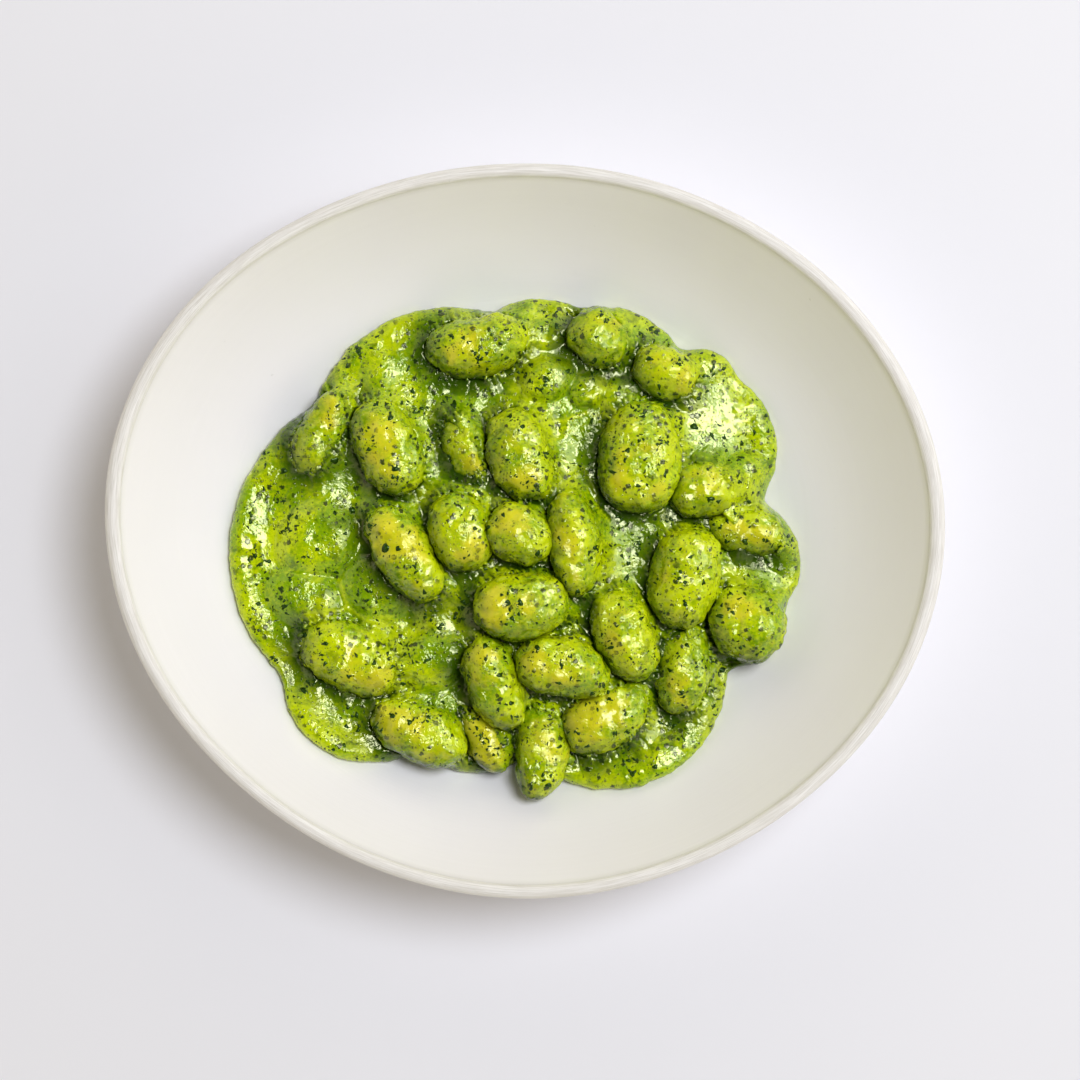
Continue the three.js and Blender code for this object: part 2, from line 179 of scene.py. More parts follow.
def rim_middle():
    """The bowl's own middle, which puts the rim's box round the origin."""
    angle = turns_of(RIM_SIDES)
    radius = rim_radius(angle)
    x, y = radius * np.cos(angle), radius * np.sin(angle)
    return -(x.max() + x.min()) / 2, -(y.max() + y.min()) / 2


BOWL_MIDDLE = rim_middle()


def inside_height(mean_radius):
    """Height of the bowl's inside at a mean radius."""
    share = np.maximum(0.0, (mean_radius - FLAT_RADIUS) / (LIP_INSIDE - FLAT_RADIUS))
    return FLOOR_HEIGHT + (LIP_EDGE_HEIGHT - FLOOR_HEIGHT) * share**WALL_CURVE


def floor_height(x, y):
    """Height of the bowl's inside under a place."""
    dx, dy = x - BOWL_MIDDLE[0], y - BOWL_MIDDLE[1]
    mean = np.hypot(dx, dy) * MEAN_RADIUS / rim_radius(np.arctan2(dy, dx))
    return inside_height(mean)


def seat_height(x, y):
    """The surface that the heap rests on: the bowl's floor, raised in the middle."""
    away = np.hypot(x - MOUND_MIDDLE[0], y - MOUND_MIDDLE[1]) / MOUND_RADIUS
    return floor_height(x, y) + MOUND_LIFT * (1.0 - smooth_step(away))


def sauce_reach(angle):
    """How far the pools reach from the sauce's middle."""
    reach = np.zeros_like(angle)
    for x, y, radius in POOLS:
        dx, dy = x - SAUCE_MIDDLE[0], y - SAUCE_MIDDLE[1]
        ahead = dx * np.cos(angle) + dy * np.sin(angle)
        spread = ahead**2 - (dx * dx + dy * dy) + radius * radius
        far = ahead + np.sqrt(np.maximum(spread, 0.0))
        reach = np.maximum(reach, np.where(spread > 0, far, 0.0))
    return reach


def swelling_height(x, y):
    """Soft domes over the dumplings that the sauce has covered."""
    height = np.zeros_like(x)
    for sx, sy, length, width, turn, rise in SWELLINGS:
        c, s = math.cos(math.radians(turn)), math.sin(math.radians(turn))
        u = ((x - sx) * c + (y - sy) * s) / (length / 2)
        v = ((y - sy) * c - (x - sx) * s) / (width / 2)
        away = np.clip(u * u + v * v, 0.0, 1.0)
        height = np.maximum(height, rise * (1.0 - away * away) ** 1.5)
    return height


def sauce_depth(x, y, from_edge):
    """Thickness of the sauce at a distance from its edge."""
    edge = np.clip(from_edge / EDGE_ROUND, 0.0, 1.0)
    rounded = EDGE_DEPTH * np.sqrt(1.0 - (1.0 - edge) ** 2)
    inner = (FULL_DEPTH - EDGE_DEPTH) * smooth_step(from_edge / FULL_REACH)
    ripple = RIPPLE * np.sin(x / RIPPLE_WIDTH[0]) * np.cos(y / RIPPLE_WIDTH[1]) * edge
    swelling = swelling_height(x, y) * smooth_step(from_edge / SWELLING_REACH)
    return rounded + inner + ripple + swelling


# ---------------- mesh helpers


def noise_at(points, size, seed=0.0, octaves=2):
    """Smooth noise from about -1 to 1 at points in millimetres; size is a lump's width."""
    offset = Vector((seed * 17.3, seed * 5.9, seed * 11.1))
    values = np.empty(len(points))
    for i, point in enumerate(points / size):
        values[i] = noise.fractal(Vector(point) + offset, 0.8, 2.1, octaves)
    return values


def object_from(name, points, faces):
    """A smooth mesh object from points in millimetres."""
    mesh = bpy.data.meshes.new(name)
    mesh.from_pydata((np.asarray(points) * MM).tolist(), [], faces)
    mesh.validate()
    mesh.shade_smooth()
    piece = bpy.data.objects.new(name, mesh)
    bpy.context.scene.collection.objects.link(piece)
    return piece


def set_attribute(piece, name, values):
    """Stores one number at each point, for the material."""
    layer = piece.data.attributes.new(name, "FLOAT", "POINT")
    layer.data.foreach_set("value", np.asarray(values, dtype=np.float32))


def vectors_of(items, key):
    """One row of three numbers for each item of a mesh."""
    values = np.empty(len(items) * 3, dtype=np.float32)
    items.foreach_get(key, values)
    return values.reshape(-1, 3).astype(float)


def places_of(mesh):
    """The points of a mesh, in millimetres."""
    return vectors_of(mesh.vertices, "co") / MM


def stitch(outer_start, outer_count, inner_start, inner_count):
    """Joins two closed rings of different lengths, both anticlockwise, with triangles."""
    triangles = []
    i = j = 0
    while i < outer_count or j < inner_count:
        outer = outer_start + i % outer_count
        inner = inner_start + j % inner_count
        outer_first = (i + 1) * inner_count <= (j + 1) * outer_count
        if j >= inner_count or (i < outer_count and outer_first):
            triangles.append((outer, outer_start + (i + 1) % outer_count, inner))
            i += 1
        else:
            triangles.append((outer, inner_start + (j + 1) % inner_count, inner))
            j += 1
    return triangles


def tree_of(pieces):
    """One ray-casting tree for several mesh objects, in millimetres."""
    points, faces = [], []
    for piece in pieces:
        start = len(points)
        points.extend(places_of(piece.data).tolist())
        faces.extend([[start + i for i in face.vertices] for face in piece.data.polygons])
    return BVHTree.FromPolygons(points, faces)


DOWN = Vector((0, 0, -1))
UP = Vector((0, 0, 1))
SKY = 90.0


def top_at(tree, x, y):
    """Height and direction of the first surface under the sky, or None."""
    place, normal, _, _ = tree.ray_cast(Vector((x, y, SKY)), DOWN)
    return (place.z, normal) if place else None


def pieces_named(*starts):
    """The pieces whose names start with one of these words."""
    return [piece for piece in bpy.data.objects if piece.name.startswith(starts)]


# ---------------- material helpers


class Nodes:
    """Adds nodes to one tree in few words. A value is another node's socket or a constant."""

    def __init__(self, tree):
        self.tree = tree

    def fill(self, sockets, values):
        """Links or sets sockets, each given by its name or number."""
        for key, value in values.items():
            if isinstance(value, bpy.types.NodeSocket):
                self.tree.links.new(value, sockets[key])
            else:
                sockets[key].default_value = value

    def add(self, kind, values=None, **properties):
        """Adds a node with these properties, and fills its inputs."""
        node = self.tree.nodes.new(kind)
        for key, value in properties.items():
            setattr(node, key, value)
        self.fill(node.inputs, values or {})
        return node

    def noise(self, where, scale, detail=2.0, roughness=0.5, distortion=0.0):
        """The factor of a noise texture; scale is its lumps in a metre."""
        values = {"Vector": where, "Scale": scale, "Detail": detail, "Roughness": roughness}
        values["Distortion"] = distortion
        return self.add("ShaderNodeTexNoise", values).outputs[0]

    def remap(self, value, low, high, to_low=0.0, to_high=1.0, kind="SMOOTHSTEP"):
        """Takes low..high to to_low..to_high, held at both ends."""
        values = {"Value": value, "From Min": low, "From Max": high}
        values.update({"To Min": to_low, "To Max": to_high})
        node = self.add("ShaderNodeMapRange", values, interpolation_type=kind)
        return node.outputs["Result"]

    def math(self, operation, a, b):
        """One sum on two values."""
        return self.add("ShaderNodeMath", {0: a, 1: b}, operation=operation).outputs[0]

    def times(self, a, b):
        """The product of two values."""
        return self.math("MULTIPLY", a, b)

    def plus(self, a, b):
        """The sum of two values."""
        return self.math("ADD", a, b)

    def rest(self, value):
        """What a share leaves of 1."""
        return self.math("SUBTRACT", 1.0, value)

    def most(self, a, b):
        """The larger of two values."""
        return self.math("MAXIMUM", a, b)

    def plus_scaled(self, a, b, scale):
        """A vector plus another one times a number."""
        scaled = self.add("ShaderNodeVectorMath", {0: b, "Scale": scale}, operation="SCALE")
        values = {0: a, 1: scaled.outputs[0]}
        return self.add("ShaderNodeVectorMath", values, operation="ADD").outputs[0]

    def mix(self, factor, a, b):
        """Mixes two colours."""
        a, b = (c if isinstance(c, bpy.types.NodeSocket) else (*c[:3], 1.0) for c in (a, b))
        values = {0: factor, 6: a, 7: b}
        return self.add("ShaderNodeMix", values, data_type="RGBA").outputs[2]

    def place(self):
        """Object coordinates, in metres."""
        return self.add("ShaderNodeTexCoord").outputs["Object"]

    def attribute(self, name):
        """A number stored at the mesh's points."""
        return self.add("ShaderNodeAttribute", attribute_name=name).outputs[2]

    def bump(self, height, strength, distance):
        """Turns a height into a normal."""
        values = {"Height": height, "Strength": strength, "Distance": distance}
        return self.add("ShaderNodeBump", values).outputs["Normal"]

    def effect(self, build, **values):
        """Uses an effect, which is built on first use; gives its outputs."""
        name = build.__name__.replace("_", " ")
        tree = bpy.data.node_groups.get(name) or build(name)
        return self.add("ShaderNodeGroup", values, node_tree=tree).outputs


SOCKETS = {type(None): "NodeSocketVector", tuple: "NodeSocketColor", float: "NodeSocketFloat"}


def new_effect(name, inputs, outputs):
    """An empty shader node group; gives its nodes, its input sockets and its output sockets.

    An input's default says its kind: None is a vector, a tuple a colour and a number a number.
    """
    tree = bpy.data.node_groups.new(name, "ShaderNodeTree")
    for label, default in inputs.items():
        kind = SOCKETS[type(default)]
        socket = tree.interface.new_socket(label, in_out="INPUT", socket_type=kind)
        if default is not None:
            socket.default_value = default
    for label in outputs:
        kind = SOCKETS[tuple if label == "Color" else float]
        tree.interface.new_socket(label, in_out="OUTPUT", socket_type=kind)
    nodes = Nodes(tree)
    start = nodes.add("NodeGroupInput").outputs
    end = nodes.add("NodeGroupOutput").inputs
    return nodes, start, end


def new_material(name):
    """A material with an empty Principled shader; gives it, its nodes and the shader's inputs."""
    material = bpy.data.materials.new(name)
    material.use_nodes = True
    tree = material.node_tree
    return material, Nodes(tree), tree.nodes["Principled BSDF"].inputs


# ---------------- effects

# The tear of a leaf bit's edge: lumps in a metre, and how far it strays in metres.
TEAR_SCALE = 1700.0
TEAR_REACH = 0.0011
# Bits in a material: cells in a metre, share of the cells that hold one, radius in cells.
LEAF_BITS = {"Scale": 400.0, "Share": 0.8, "Size": 0.44}
LEAF_DUST = {"Scale": 900.0, "Share": 0.6, "Size": 0.42}
IRON_SPECKS = {"Scale": 95.0, "Share": 0.5, "Size": 0.04}
WORN_SPECKS = {"Scale": 260.0, "Share": 0.1, "Size": 0.09}


def leaf_specks(name):
    """Small torn bits of leaf: a mask over round cells, some of which hold a bit."""
    nodes, start, end = new_effect(
        name, {"Vector": None, "Scale": 500.0, "Share": 0.4, "Size": 0.35}, ("Mask", "Raise")
    )
    tear = nodes.add(
        "ShaderNodeTexNoise", {"Vector": start["Vector"], "Scale": TEAR_SCALE, "Detail": 1.0}
    )
    where = nodes.plus_scaled(start["Vector"], tear.outputs["Color"], TEAR_REACH)
    cells = nodes.add("ShaderNodeTexVoronoi", {"Vector": where, "Scale": start["Scale"]}).outputs
    parts = nodes.add("ShaderNodeSeparateColor", {0: cells["Color"]}).outputs
    held = nodes.math("LESS_THAN", parts[0], start["Share"])
    vary = nodes.remap(parts[1], 0.0, 1.0, 0.35, 1.0, kind="LINEAR")
    inside = nodes.math("SUBTRACT", nodes.times(start["Size"], vary), cells["Distance"])
    mask = nodes.remap(inside, -0.02, 0.09)
    dome = nodes.remap(inside, -0.06, 0.22)
    nodes.fill(end, {"Mask": nodes.times(mask, held), "Raise": nodes.times(dome, held)})
    return nodes.tree


def wet_grain(name):
    """The fine crumpled relief of wet sauce over bits of leaf, as a height."""
    nodes, start, end = new_effect(name, {"Vector": None, "Calm": 0.0}, ("Height",))
    where = start["Vector"]
    coarse = nodes.noise(where, 430.0, 1.0, 0.5, 0.7)
    fine = nodes.noise(where, 900.0, 2.0, 0.55, 0.8)
    folds = nodes.math("ABSOLUTE", nodes.math("SUBTRACT", coarse, 0.5), 0.0)
    height = nodes.plus(nodes.times(folds, -1.6), nodes.times(fine, 0.5))
    patches = nodes.remap(nodes.noise(where, 90.0, 1.0), 0.36, 0.56, 0.15, 1.0)
    rough = nodes.times(patches, nodes.rest(start["Calm"]))
    nodes.fill(end, {"Height": nodes.times(height, rough)})
    return nodes.tree


def sauce_colour(name):
    """The sauce's green: broad drifts, fine mottling, leafy clouds, and paler parts where it is
    thin or a highlight is painted.
    """
    nodes, start, end = new_effect(
        name,
        {
            "Vector": None,
            "Deep": (0.1, 0.3, 0.01, 1.0),
            "Light": (0.3, 0.5, 0.02, 1.0),
            "Shade": (0.05, 0.1, 0.001, 1.0),
            "Thin": 0.0,
        },
        ("Color",),
    )
    where, thin = start["Vector"], start["Thin"]
    drift = nodes.remap(nodes.noise(where, 70.0, 3.0), 0.35, 0.68)
    mottle = nodes.remap(nodes.noise(where, 900.0, 2.0, 0.6), 0.35, 0.65, -0.3, 0.3)
    pale = nodes.plus(nodes.plus(drift, mottle), thin)
    pale = nodes.add("ShaderNodeClamp", {"Value": pale}).outputs[0]
    green = nodes.mix(pale, start["Deep"], start["Light"])
    leafy = nodes.remap(nodes.noise(where, 240.0, 4.0, 0.65, 0.5), 0.5, 0.68, 0.0, 0.7)
    green = nodes.mix(nodes.times(leafy, nodes.rest(thin)), green, start["Shade"])
    nodes.fill(end, {"Color": green})
    return nodes.tree


# ---------------- materials

BARE_GRIT = (0.62, 0.55, 0.45)
OIL_TINT = (1.0, 1.0, 0.6, 1.0)
LEAF_TINT = (0.7, 1.0, 0.4, 1.0)
# How strongly each finish mirrors.
GLAZE_GLOSS = 0.45
WET_GLOSS = 0.68
LEAF_GLOSS = 0.36
TABLE_GLOSS = 0.2


def stoneware_material(settings):
    """Satin off-white glaze with iron specks, a brushed matte rim and a bare foot."""
    material, nodes, shader = new_material("satin_stoneware")
    where = nodes.place()
    rim, foot = nodes.attribute("rim"), nodes.attribute("foot")

    cloud = nodes.remap(nodes.noise(where, 18.0, 3.0), 0.3, 0.7)
    base = nodes.mix(cloud, settings.glaze_colour, settings.glaze_warm_colour)

    # The marks of the brush and of the throwing run round the bowl.
    section = nodes.add("ShaderNodeCombineXYZ", {"Z": nodes.attribute("section")}).outputs[0]
    rings = nodes.plus_scaled(section, where, 22.0)
    brush = nodes.noise(rings, 4.2, 3.0, 0.65)
    throwing = nodes.noise(rings, 0.5, 2.0, 0.5)
    edge = nodes.mix(nodes.remap(brush, 0.3, 0.7), settings.rim_colour, settings.rim_worn_colour)
    base = nodes.mix(rim, base, edge)

    iron = nodes.effect(leaf_specks, Vector=where, **IRON_SPECKS)["Mask"]
    worn = nodes.effect(leaf_specks, Vector=where, **WORN_SPECKS)["Mask"]
    specks = nodes.most(iron, nodes.times(worn, rim))
    base = nodes.mix(nodes.times(specks, 0.8), base, settings.speck_colour)
    grit = nodes.remap(nodes.noise(where, 900.0, 2.0), 0.3, 0.7)
    base = nodes.mix(foot, base, nodes.mix(grit, settings.clay_colour, BARE_GRIT))

    satin = nodes.remap(cloud, 0.0, 1.0, 0.23, 0.27)
    matte = nodes.most(nodes.times(rim, 0.55), nodes.times(foot, 0.85))
    scratch = nodes.times(brush, nodes.plus(nodes.times(rim, 1.2), 0.05))
    pits = nodes.times(nodes.noise(where, 420.0, 2.0), 0.1)
    height = nodes.plus(nodes.plus(scratch, nodes.times(throwing, 0.35)), pits)
    finish = {
        "Base Color": base,
        "Roughness": nodes.most(satin, matte),
        "Normal": nodes.bump(height, 0.5, 0.0003),
        "Specular IOR Level": GLAZE_GLOSS,
    }
    nodes.fill(shader, finish)
    return material


def green_parts(nodes, settings, where, thin, calm):
    """The colour and relief that the sauce has wherever it lies; gives colour, height, dark."""
    green = nodes.effect(
        sauce_colour,
        Vector=where,
        Deep=(*settings.deep_colour, 1.0),
        Light=(*settings.light_colour, 1.0),
        Shade=(*settings.shade_colour, 1.0),
        Thin=thin,
    )["Color"]
    bits = nodes.effect(leaf_specks, Vector=where, **LEAF_BITS)
    dust = nodes.effect(leaf_specks, Vector=where, **LEAF_DUST)
    grouped = nodes.remap(nodes.noise(where, 120.0, 1.0), 0.38, 0.58, 0.25, 1.0)
    dark = nodes.most(nodes.times(bits["Mask"], grouped), nodes.times(dust["Mask"], 0.7))
    grain = nodes.effect(wet_grain, Vector=where, Calm=calm)["Height"]
    height = nodes.plus(grain, nodes.times(nodes.plus(bits["Raise"], dust["Raise"]), 0.3))
    return green, height, dark


def wet_finish(nodes, settings, base, roughness, height):
    """The oily skin that the sauce and the coated dough share, as the shader's values."""
    return {
        "Base Color": base,
        "Roughness": roughness,
        "Normal": nodes.bump(height, settings.relief, settings.relief_depth),
        "Specular IOR Level": WET_GLOSS,
        "Specular Tint": OIL_TINT,
    }


def sauce_material(settings):
    """Oily basil sauce: green, glossy, with fine bits of leaf just under its skin."""
    material, nodes, shader = new_material("basil_sauce")
    # The thin mask also carries a painted highlight along the sauce's ridges.
    thin, crease = nodes.attribute("thin"), nodes.attribute("crease")
    calm = nodes.most(nodes.times(nodes.attribute("calm"), 0.35), nodes.times(crease, 0.8))
    base, height, dark = green_parts(nodes, settings, nodes.place(), thin, calm)
    # Painted shade: a broad darker green round the dumplings on their side away from the light.
    base = nodes.mix(nodes.attribute("deep"), base, settings.shade_colour)
    # Painted shade: darkest in the crease beside each dumpling, away from the light.
    base = nodes.mix(crease, base, settings.crease_colour)
    base = nodes.mix(nodes.times(dark, 0.92), base, settings.leaf_colour)
    roughness = nodes.remap(dark, 0.0, 1.0, 0.07, 0.12)
    nodes.fill(shader, wet_finish(nodes, settings, base, roughness, height))
    depth = {"Weight": 0.15, "Radius": (0.8, 1.0, 0.1), "Scale": 0.0012}
    nodes.fill(shader, {f"Subsurface {key}": value for key, value in depth.items()})
    return material


def dough_material(settings, sauce):
    """Boiled potato dough, pale yellow where the film of sauce has slipped from it."""
    material, nodes, shader = new_material("potato_dough")
    where = nodes.place()
    green, height, dark = green_parts(nodes, sauce, where, 0.25, 0.0)

    cloud = nodes.remap(nodes.noise(where, 160.0, 3.0), 0.3, 0.7)
    dough = nodes.mix(cloud, settings.dough_colour, settings.dough_deep_colour)
    ragged = nodes.math("SUBTRACT", nodes.noise(where, 330.0, 4.0, 0.7), 0.5)
    film = nodes.plus(nodes.attribute("film"), nodes.times(ragged, 2.2))
    cover = nodes.remap(film, -0.1, 1.1, 0.12, 1.0)
    base = nodes.mix(cover, dough, green)
    # Painted shade in the creases and along the outline away from the light.
    base = nodes.mix(nodes.attribute("crease"), base, sauce.crease_colour)
    spots = nodes.times(dark, nodes.remap(cover, 0.1, 0.6, 0.5, 0.92))
    base = nodes.mix(spots, base, sauce.leaf_colour)
    roughness = nodes.remap(cover, 0.0, 1.0, 0.14, 0.08)
    relief = nodes.times(height, nodes.remap(cover, 0.1, 0.7, 0.8, 1.3))
    nodes.fill(shader, wet_finish(nodes, sauce, base, roughness, relief))
    depth = {"Weight": 0.2, "Radius": (1.0, 0.9, 0.2), "Scale": 0.0015}
    nodes.fill(shader, {f"Subsurface {key}": value for key, value in depth.items()})
    return material


def leaf_material(settings, sauce):
    """Chopped basil leaf, nearly black where it is wet, with paler veins and torn edges."""
    material, nodes, shader = new_material("chopped_basil_leaf")
    where = nodes.place()
    tone = nodes.remap(nodes.noise(where, 240.0, 2.0), 0.3, 0.7)
    base = nodes.mix(tone, settings.dark_colour, settings.pale_colour)
    veins = nodes.remap(nodes.noise(where, 1400.0, 2.0), 0.55, 0.75, 0.0, 0.35)
    base = nodes.mix(veins, base, settings.vein_colour)
    veil = nodes.remap(nodes.noise(where, 520.0, 3.0, 0.6), 0.54, 0.64, 0.0, 0.8)
    base = nodes.mix(veil, base, sauce.shade_colour)
    drowned = nodes.times(nodes.attribute("torn"), 0.8)
    grain = nodes.effect(wet_grain, Vector=where, Calm=0.3)["Height"]
    finish = {
        "Base Color": nodes.mix(drowned, base, sauce.crease_colour),
        "Roughness": nodes.remap(veins, 0.0, 0.35, 0.1, 0.2),
        "Normal": nodes.bump(grain, 0.5, 0.0003),
        "Specular IOR Level": LEAF_GLOSS,
        "Specular Tint": LEAF_TINT,
    }
    nodes.fill(shader, finish)
    return material


def floor_material(settings):
    """A plain pale table top with a faint cloudiness."""
    material, nodes, shader = new_material("pale_table")
    cloud = nodes.remap(nodes.noise(nodes.place(), 3.0, 2.0), 0.3, 0.7)
    shade = [0.975 * part for part in settings.floor_colour]
    base = nodes.mix(cloud, settings.floor_colour, shade)
    nodes.fill(shader, {"Base Color": base, "Roughness": 0.6, "Specular IOR Level": TABLE_GLOSS})
    return material


# ---------------- settings


def length(name, description, default, lowest=0.0, highest=1.0):
    """A length in metres that the user can change."""
    return bpy.props.FloatProperty(
        name=name,
        description=description,
        default=default,
        min=lowest,
        max=highest,
        subtype="DISTANCE",
        unit="LENGTH",
        precision=5,
    )


def colour(name, description, default):
    """A colour that the user can change."""
    return bpy.props.FloatVectorProperty(
        name=name,
        description=description,
        default=default,
        min=0.0,
        max=1.0,
        size=3,
        subtype="COLOR",
    )


def share(name, description, default, highest=1.0):
    """A plain factor that the user can change."""
    return bpy.props.FloatProperty(
        name=name, description=description, default=default, min=0.0, max=highest, subtype="FACTOR"
    )


def power(name, description, default):
    """A light's power in watts."""
    return bpy.props.FloatProperty(
        name=name, description=description, default=default, min=0.0, unit="POWER"
    )


def count(name, description, default, lowest, highest):
    """A whole number that the user can change."""
    return bpy.props.IntProperty(
        name=name, description=description, default=default, min=lowest, max=highest
    )


class BowlSettings(bpy.types.PropertyGroup):
    """The stoneware bowl."""

    sides: count("Sides", "Points in one turn of the bowl", 288, 48, 720)
    wobble: length("Wobble", "How far the hand-made rim strays", 0.00018, 0.0, 0.001)
    throwing: length("Throwing lines", "Height of the rings left by throwing", 0.00003, 0.0, 0.001)
    glaze_colour: colour("Glaze", "Colour of the glaze", (0.90, 0.881, 0.9))
    glaze_warm_colour: colour("Warm glaze", "Glaze where it runs thick", (0.885, 0.865, 0.88))
    rim_colour: colour("Rim", "Colour of the brushed rim", (0.90, 0.885, 0.86))
    rim_worn_colour: colour("Worn rim", "The rim's scratches", (0.68, 0.655, 0.61))
    speck_colour: colour("Specks", "Iron specks in the glaze", (0.06, 0.04, 0.025))
    clay_colour: colour("Clay", "Bare clay of the foot ring", (0.50, 0.43, 0.34))


class DumplingSettings(bpy.types.PropertyGroup):
    """The potato dumplings."""

    voxel: length("Mesh size", "Width of a mesh cell before smoothing", 0.0011, 0.0005, 0.004)
    softness: count("Softness", "Smoothing passes that round the dough", 14, 0, 60)
    plump: length("Plumpness", "How far the rounded dough swells back", 0.0003, 0.0, 0.001)
    lumps: length("Lumps", "Height of the dough's soft unevenness", 0.001, 0.0, 0.002)
    film: length("Film", "Thickness of the sauce film", 0.00032, 0.0, 0.001)
    dough_colour: colour("Dough", "Bare potato dough", (0.82, 0.74, 0.03))
    dough_deep_colour: colour("Deep dough", "Dough where it is wetter", (0.68, 0.64, 0.012))


class SauceSettings(bpy.types.PropertyGroup):
    """The basil sauce."""

    spacing: length("Mesh size", "Distance between rings of the surface", 0.00068, 0.0003, 0.004)
    wander: length("Edge wander", "How far the edge strays", 0.00045, 0.0, 0.003)
    climb: length("Climb", "How high the sauce climbs a dumpling", 0.0036, 0.0, 0.006)
    climb_reach: length("Climb reach", "Width of that climb", 0.0022, 0.0002, 0.005)
    drape: length("Drape", "How high it drapes over a far edge", 0.0055, 0.0, 0.01)
    drape_reach: length("Drape reach", "Width of that drape", 0.0022, 0.0002, 0.005)
    waves: length("Waves", "Height of the broad unevenness", 0.0009, 0.0, 0.003)
    lumps: length("Lumps", "Height of the lumps between the waves", 0.00034, 0.0, 0.002)
    grain: length("Grain", "Height of the lumps of leaf under the skin", 0.00023, 0.0, 0.001)
    relief: share("Relief", "Strength of the fine wet relief", 0.5)
    relief_depth: length("Relief depth", "Depth of the fine wet relief", 0.0006, 0.0, 0.003)
    deep_colour: colour("Deep sauce", "Green of the thick sauce", (0.242, 0.42, 0.001))
    light_colour: colour("Light sauce", "Green of the thin sauce", (0.6, 0.72, 0.002))
    # Shade colour: the sauce's random leafy clouds, and also the painted shade round the
    # dumplings.
    shade_colour: colour("Shade", "Green where the sauce is thickest", (0.05, 0.125, 0.001))
    # Crease colour: the painted shade in creases, and the sauce over the sunk rims of leaf scraps.
    crease_colour: colour("Creases", "Leafy sauce gathered in a crease", (0.016, 0.05, 0.001))
    leaf_colour: colour("Leaf bits", "Fine bits of leaf in the sauce", (0.006, 0.022, 0.003))


class ScrapSettings(bpy.types.PropertyGroup):
    """The strewn scraps of basil leaf."""

    small: count("Small scraps", "How many small scraps are tried", 16000, 0, 20000)
    cluster: length("Cluster", "Width of the clusters that the scraps lie in", 0.009, 0.001, 0.1)
    seed: count("Seed", "Changes the draw of the small scraps", 7, 0, 9999)
    thickness: length("Thickness", "How far a scrap stands above the sauce", 0.00014, 0.0, 0.001)
    dark_colour: colour("Dark leaf", "Wet leaf in shade", (0.002, 0.011, 0.002))
    pale_colour: colour("Pale leaf", "Leaf near the light", (0.007, 0.034, 0.002))
    vein_colour: colour("Veins", "Veins and torn edges", (0.04, 0.1, 0.006))


class StageSettings(bpy.types.PropertyGroup):
    """The floor, the light and the camera."""

    floor_colour: colour("Floor", "Colour of the table top", (0.842, 0.842, 0.888))
    window_power: power("Window", "Power of the wide light", 6.8)
    window_size: length("Window size", "Width of the wide light", 1.38, 0.01, 5.0)
    lamp_power: power("Lamp", "Power of the small light", 27.1)
    lamp_size: length("Lamp size", "Width of the small light", 0.92, 0.01, 5.0)
    sheen_power: power("Sheen", "Power of the light that only the wet food mirrors", 33.0)
    sheen_size: length("Sheen size", "Width of that light", 2.0, 0.01, 5.0)
    fill: share("Fill", "Brightness of the room's light", 0.9, 5.0)
    camera_height: length("Camera height", "Camera above the table", 1.048, 0.1, 10.0)


# ---------------- bowl


def rounded(corners, radius, steps=4):
    """A row of points with each inner corner replaced by a small curve."""
    corners = [np.array(c, dtype=float) for c in corners]
    points = [corners[0]]
    for before, corner, after in zip(corners, corners[1:], corners[2:]):
        back, ahead = before - corner, after - corner
        cut = min(radius, np.linalg.norm(back) / 2, np.linalg.norm(ahead) / 2)
        start = corner + back / np.linalg.norm(back) * cut
        end = corner + ahead / np.linalg.norm(ahead) * cut
        for i in range(steps + 1):
            t = i / steps
            points.append((1 - t) ** 2 * start + 2 * t * (1 - t) * corner + t * t * end)
    points.append(corners[-1])
    return points


def bowl_section():
    """The bowl's section from the floor's middle over the rim to the foot: [radius, height]."""
    floor = [(r, FLOOR_HEIGHT) for r in np.linspace(1.5, FLAT_RADIUS, 16)]
    inside = [(r, float(inside_height(r))) for r in np.linspace(FLAT_RADIUS, LIP_INSIDE, 44)[1:]]
    lip = []
    for turn in np.linspace(math.pi, 0.0, 13)[1:]:
        radius = LIP_INSIDE + LIP / 2 * (1 + math.cos(turn))
        lip.append((radius, LIP_EDGE_HEIGHT + LIP_CROWN * math.sin(turn)))
    outside = []
    for part in np.linspace(0.97, 0.02, 30):
        radius = FLAT_RADIUS + (LIP_INSIDE - FLAT_RADIUS) * part
        slope = float(inside_height(radius + 0.5) - inside_height(radius - 0.5))
        thickness = WALL_AT_FLOOR + (WALL_AT_RIM - WALL_AT_FLOOR) * part
        stretch = math.hypot(1.0, slope)
        height = float(inside_height(radius)) - thickness / stretch
        outside.append((radius + thickness * slope / stretch, height))
    inner = FOOT_RADIUS - FOOT_WIDTH
    foot = rounded(
        (
            outside[-1],
            (FOOT_RADIUS + FOOT_BEVEL, FLOOR_HEIGHT - WALL_AT_FLOOR),
            (FOOT_RADIUS, FOOT_BEVEL),
            (FOOT_RADIUS - FOOT_BEVEL, 0.0),
            (inner, 0.0),
            (inner - 2 * FOOT_BEVEL, FOOT_RECESS),
            (inner - 2 * FOOT_BEVEL - 8, FOOT_RECESS),
        ),
        0.8,
    )
    under = [(r, FOOT_RECESS) for r in np.linspace(inner - 2 * FOOT_BEVEL - 12, 1.5, 10)]
    return np.array([*floor, *inside, *lip, *outside, *foot[1:], *under])


# How far a hand-made rim strays, as waves: (waves round the rim, turn in radians, share).
RIM_SWINGS = ((3, 0.6, 1.0), (7, 2.0, 0.6), (13, 0.0, 0.4))
RIM_BREADTHS = ((5, 1.0, 0.8), (11, 0.3, 0.5))
LIP_REACH = 6.0  # how far from the rim's crown those waves are felt
THROWING_PITCH = 1.9  # radians of a throwing line's wave in a millimetre
BAND_WIDTH = 3.6  # of the brushed band, on each side of the crown
FOOT_BAND = 1.1  # height of the bare clay


def stray(angle, rows):
    """The sum of some waves round the rim."""
    return sum(part * np.sin(waves * angle + turn) for waves, turn, part in rows)


